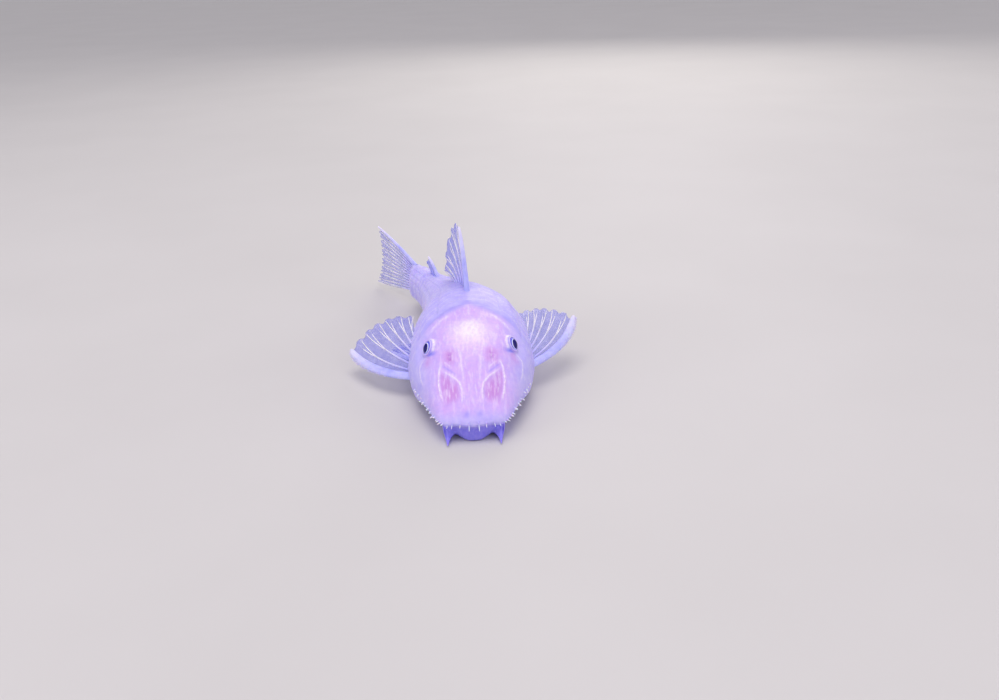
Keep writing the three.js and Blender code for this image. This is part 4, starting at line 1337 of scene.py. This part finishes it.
def fin(name, rays, node, look, shape=bent):
    """A fin: its rays, and a thin clear skin between them whose edge dips between their tips"""
    blades = Fan(rays)
    bones = Surface()
    add_rays(bones, blades, look)
    make_piece(f"{name}_rays", bones, RAY_MATERIAL, [node], shape)

    last = blades.last
    v = np.linspace(look.edge, last, last * 14 + 1)
    v = np.append(v, np.linspace(last, last + look.trail, 4)[1:])
    part = v % 1
    reach = 0.985 - 0.045 * np.sin(np.pi * np.clip((part - 0.2) / 0.6, 0, 1))
    reach = reach - 0.06 * smooth(0.5, 0.0, v) - 0.25 * smooth(last, last + look.trail, v)
    u = np.linspace(0, 1, 56)[:, None] * reach
    normal = unit(np.cross(blades.across(v, u), blades.along(v, u)))
    sag = 0.1 * np.sin(np.pi * part) ** 2 * np.where(np.floor(v) % 2 == 0, 1, -1) * smooth(0.05, 0.4, u)
    half = 0.03 + look.root * smooth(0.3, 0.0, u)
    sheet = Surface()
    add_sheet(sheet, blades.point(v, u) + sag[..., None] * normal, half[..., None] * normal)
    material = CLOUDY_SKIN if look.cloudy else CLEAR_SKIN
    make_piece(f"{name}_membrane", sheet, material, (), shape)


def blade_spines(name, rays, look, shape):
    """Spines along the front and the outer face of a fin's first ray"""
    blades = Fan(rays)
    rng = np.random.default_rng(len(name))
    u = 0.16 + 0.82 * rng.random(BLADE_SPINES) ** 0.7
    wide, thick = (half[:, None] for half in look.first_ray(u))
    across = blades.across(0 * u, u)
    along = blades.along(0 * u, u)
    up = np.cross(across, along)
    turn = np.pi + rng.uniform(-1.5, 1.5, BLADE_SPINES)
    cosine, sine = np.cos(turn)[:, None], np.sin(turn)[:, None]
    out = unit(cosine * across / wide + sine * up / thick)
    roots = blades.point(0.05 + 0 * u, u) + wide * cosine * across + thick * sine * up
    place = np.stack([0.02 + 0.4 * (turn / 6.3), 0.02 + 0.9 * u], -1)
    length = (0.1 + 0.16 * u) * rng.uniform(0.8, 1.2, BLADE_SPINES)
    surface = Surface()
    spikes(surface, roots, unit(along + 0.6 * out), length, 0.032, place)
    make_piece(f"{name}_spines", surface, SPINE_MATERIAL, (), shape)


# Stage


def turned(v, axis, angle):
    """A direction turned about an axis that is square to it"""
    return v * math.cos(angle) + np.cross(axis, v) * math.sin(angle)


def camera():
    """The photograph's view: its axis goes through the picture's middle, and the target falls on
    its pixel"""
    turn, height, roll = np.radians(VIEW_ANGLES)
    level = np.array([math.cos(turn), -math.sin(turn), 0.0])
    forward = turned(np.array([math.sin(turn), math.cos(turn), 0.0]), level, -height)
    place = VIEW_TARGET - forward * VIEW_DISTANCE
    right = turned(level, forward, -roll)
    up = np.cross(right, forward)
    off_x = (VIEW_TARGET_PIXEL[0] - PICTURE[0] / 2) / FOCAL_PIXELS
    off_y = (PICTURE[1] / 2 - VIEW_TARGET_PIXEL[1]) / FOCAL_PIXELS
    lift = math.atan2(off_y, math.hypot(1, off_x))
    swing = math.atan(off_x)
    forward, up = turned(forward, right, -lift), turned(up, right, -lift)
    forward, right = turned(forward, up, swing), turned(right, up, swing)
    data = bpy.data.cameras.new("camera")
    data.sensor_width = SENSOR_MM
    data.lens = SENSOR_MM * FOCAL_PIXELS / PICTURE[0]
    data.clip_start = 0.005
    data.clip_end = 20
    axes = Matrix([right, up, -forward]).transposed().to_4x4()
    axes.translation = (place + OFFSET) * MM
    seen = place_object("camera", data)
    seen.matrix_world = axes
    bpy.context.scene.camera = seen


def stage():
    corners = [(FLOOR_HALF * x, FLOOR_HALF * y, 0) for x, y in ((-1, -1), (1, -1), (1, 1), (-1, 1))]
    mesh = bpy.data.meshes.new("floor")
    mesh.from_pydata(corners, [], [(0, 1, 2, 3)])
    mesh.materials.append(floor_material())
    floor = place_object("floor", mesh)


def lights():
    """Square soft lights that shine at the middle of the fish, and an even light from the sky"""
    for name, place, size, power, colour in LAMPS:
        data = bpy.data.lights.new(name, "AREA")
        data.shape = "SQUARE"
        data.size = size
        data.energy = power
        data.color = colour
        made = place_object(name, data)
        made.location = place
        made.rotation_euler = (-Vector(place)).to_track_quat("-Z", "Y").to_euler()
    data = bpy.data.lights.new("sky", "SUN")
    data.energy = SKY_LIGHT
    data.color = SKY_COLOUR
    data.angle = SKY_WIDTH
    place_object("sky", data)
    world = bpy.data.worlds.new("world")
    world.use_nodes = True
    background = world.node_tree.nodes["Background"]
    background.inputs["Color"].default_value = WORLD_COLOUR
    background.inputs["Strength"].default_value = WORLD_STRENGTH
    bpy.context.scene.world = world
    bpy.context.scene.view_settings.view_transform = "Standard"


OFFSET = frame_offset()
RAY_MATERIAL = ray_material()
CLEAR_SKIN = membrane_material("clear_fin_skin", 0.38, srgb(122, 126, 228), srgb(158, 160, 242))
CLOUDY_SKIN = membrane_material("cloudy_fin_skin", 0.58, srgb(132, 138, 240), srgb(168, 172, 248))
SPINE_MATERIAL = spine_material()

camera()
stage()
lights()
skin()
eyes()
lips()
tentacles()
plate_spines()
teeth()
fin("pectoral_left", PECTORAL_LEFT, "pectoral_fin_left", PECTORAL_LOOK, straight)
fin("pectoral_right", PECTORAL_RIGHT, "pectoral_fin_right", PECTORAL_LOOK, straight)
blade_spines("pectoral_left", PECTORAL_LEFT, PECTORAL_LOOK, straight)
blade_spines("pectoral_right", PECTORAL_RIGHT, PECTORAL_LOOK, straight)
fin("pelvic_left", PELVIC_LEFT, "pelvic_fin_left", PELVIC_LOOK)
fin("pelvic_right", [-1, 1, 1] * PELVIC_LEFT, "pelvic_fin_right", PELVIC_LOOK)
fin("dorsal", dorsal_rays(), "dorsal_fin", DORSAL_LOOK)
fin("adipose", ADIPOSE, "adipose_fin", ADIPOSE_LOOK)
fin("anal", ANAL, "anal_fin", ANAL_LOOK)
fin("caudal", caudal_rays(), "caudal_fin", CAUDAL_LOOK)
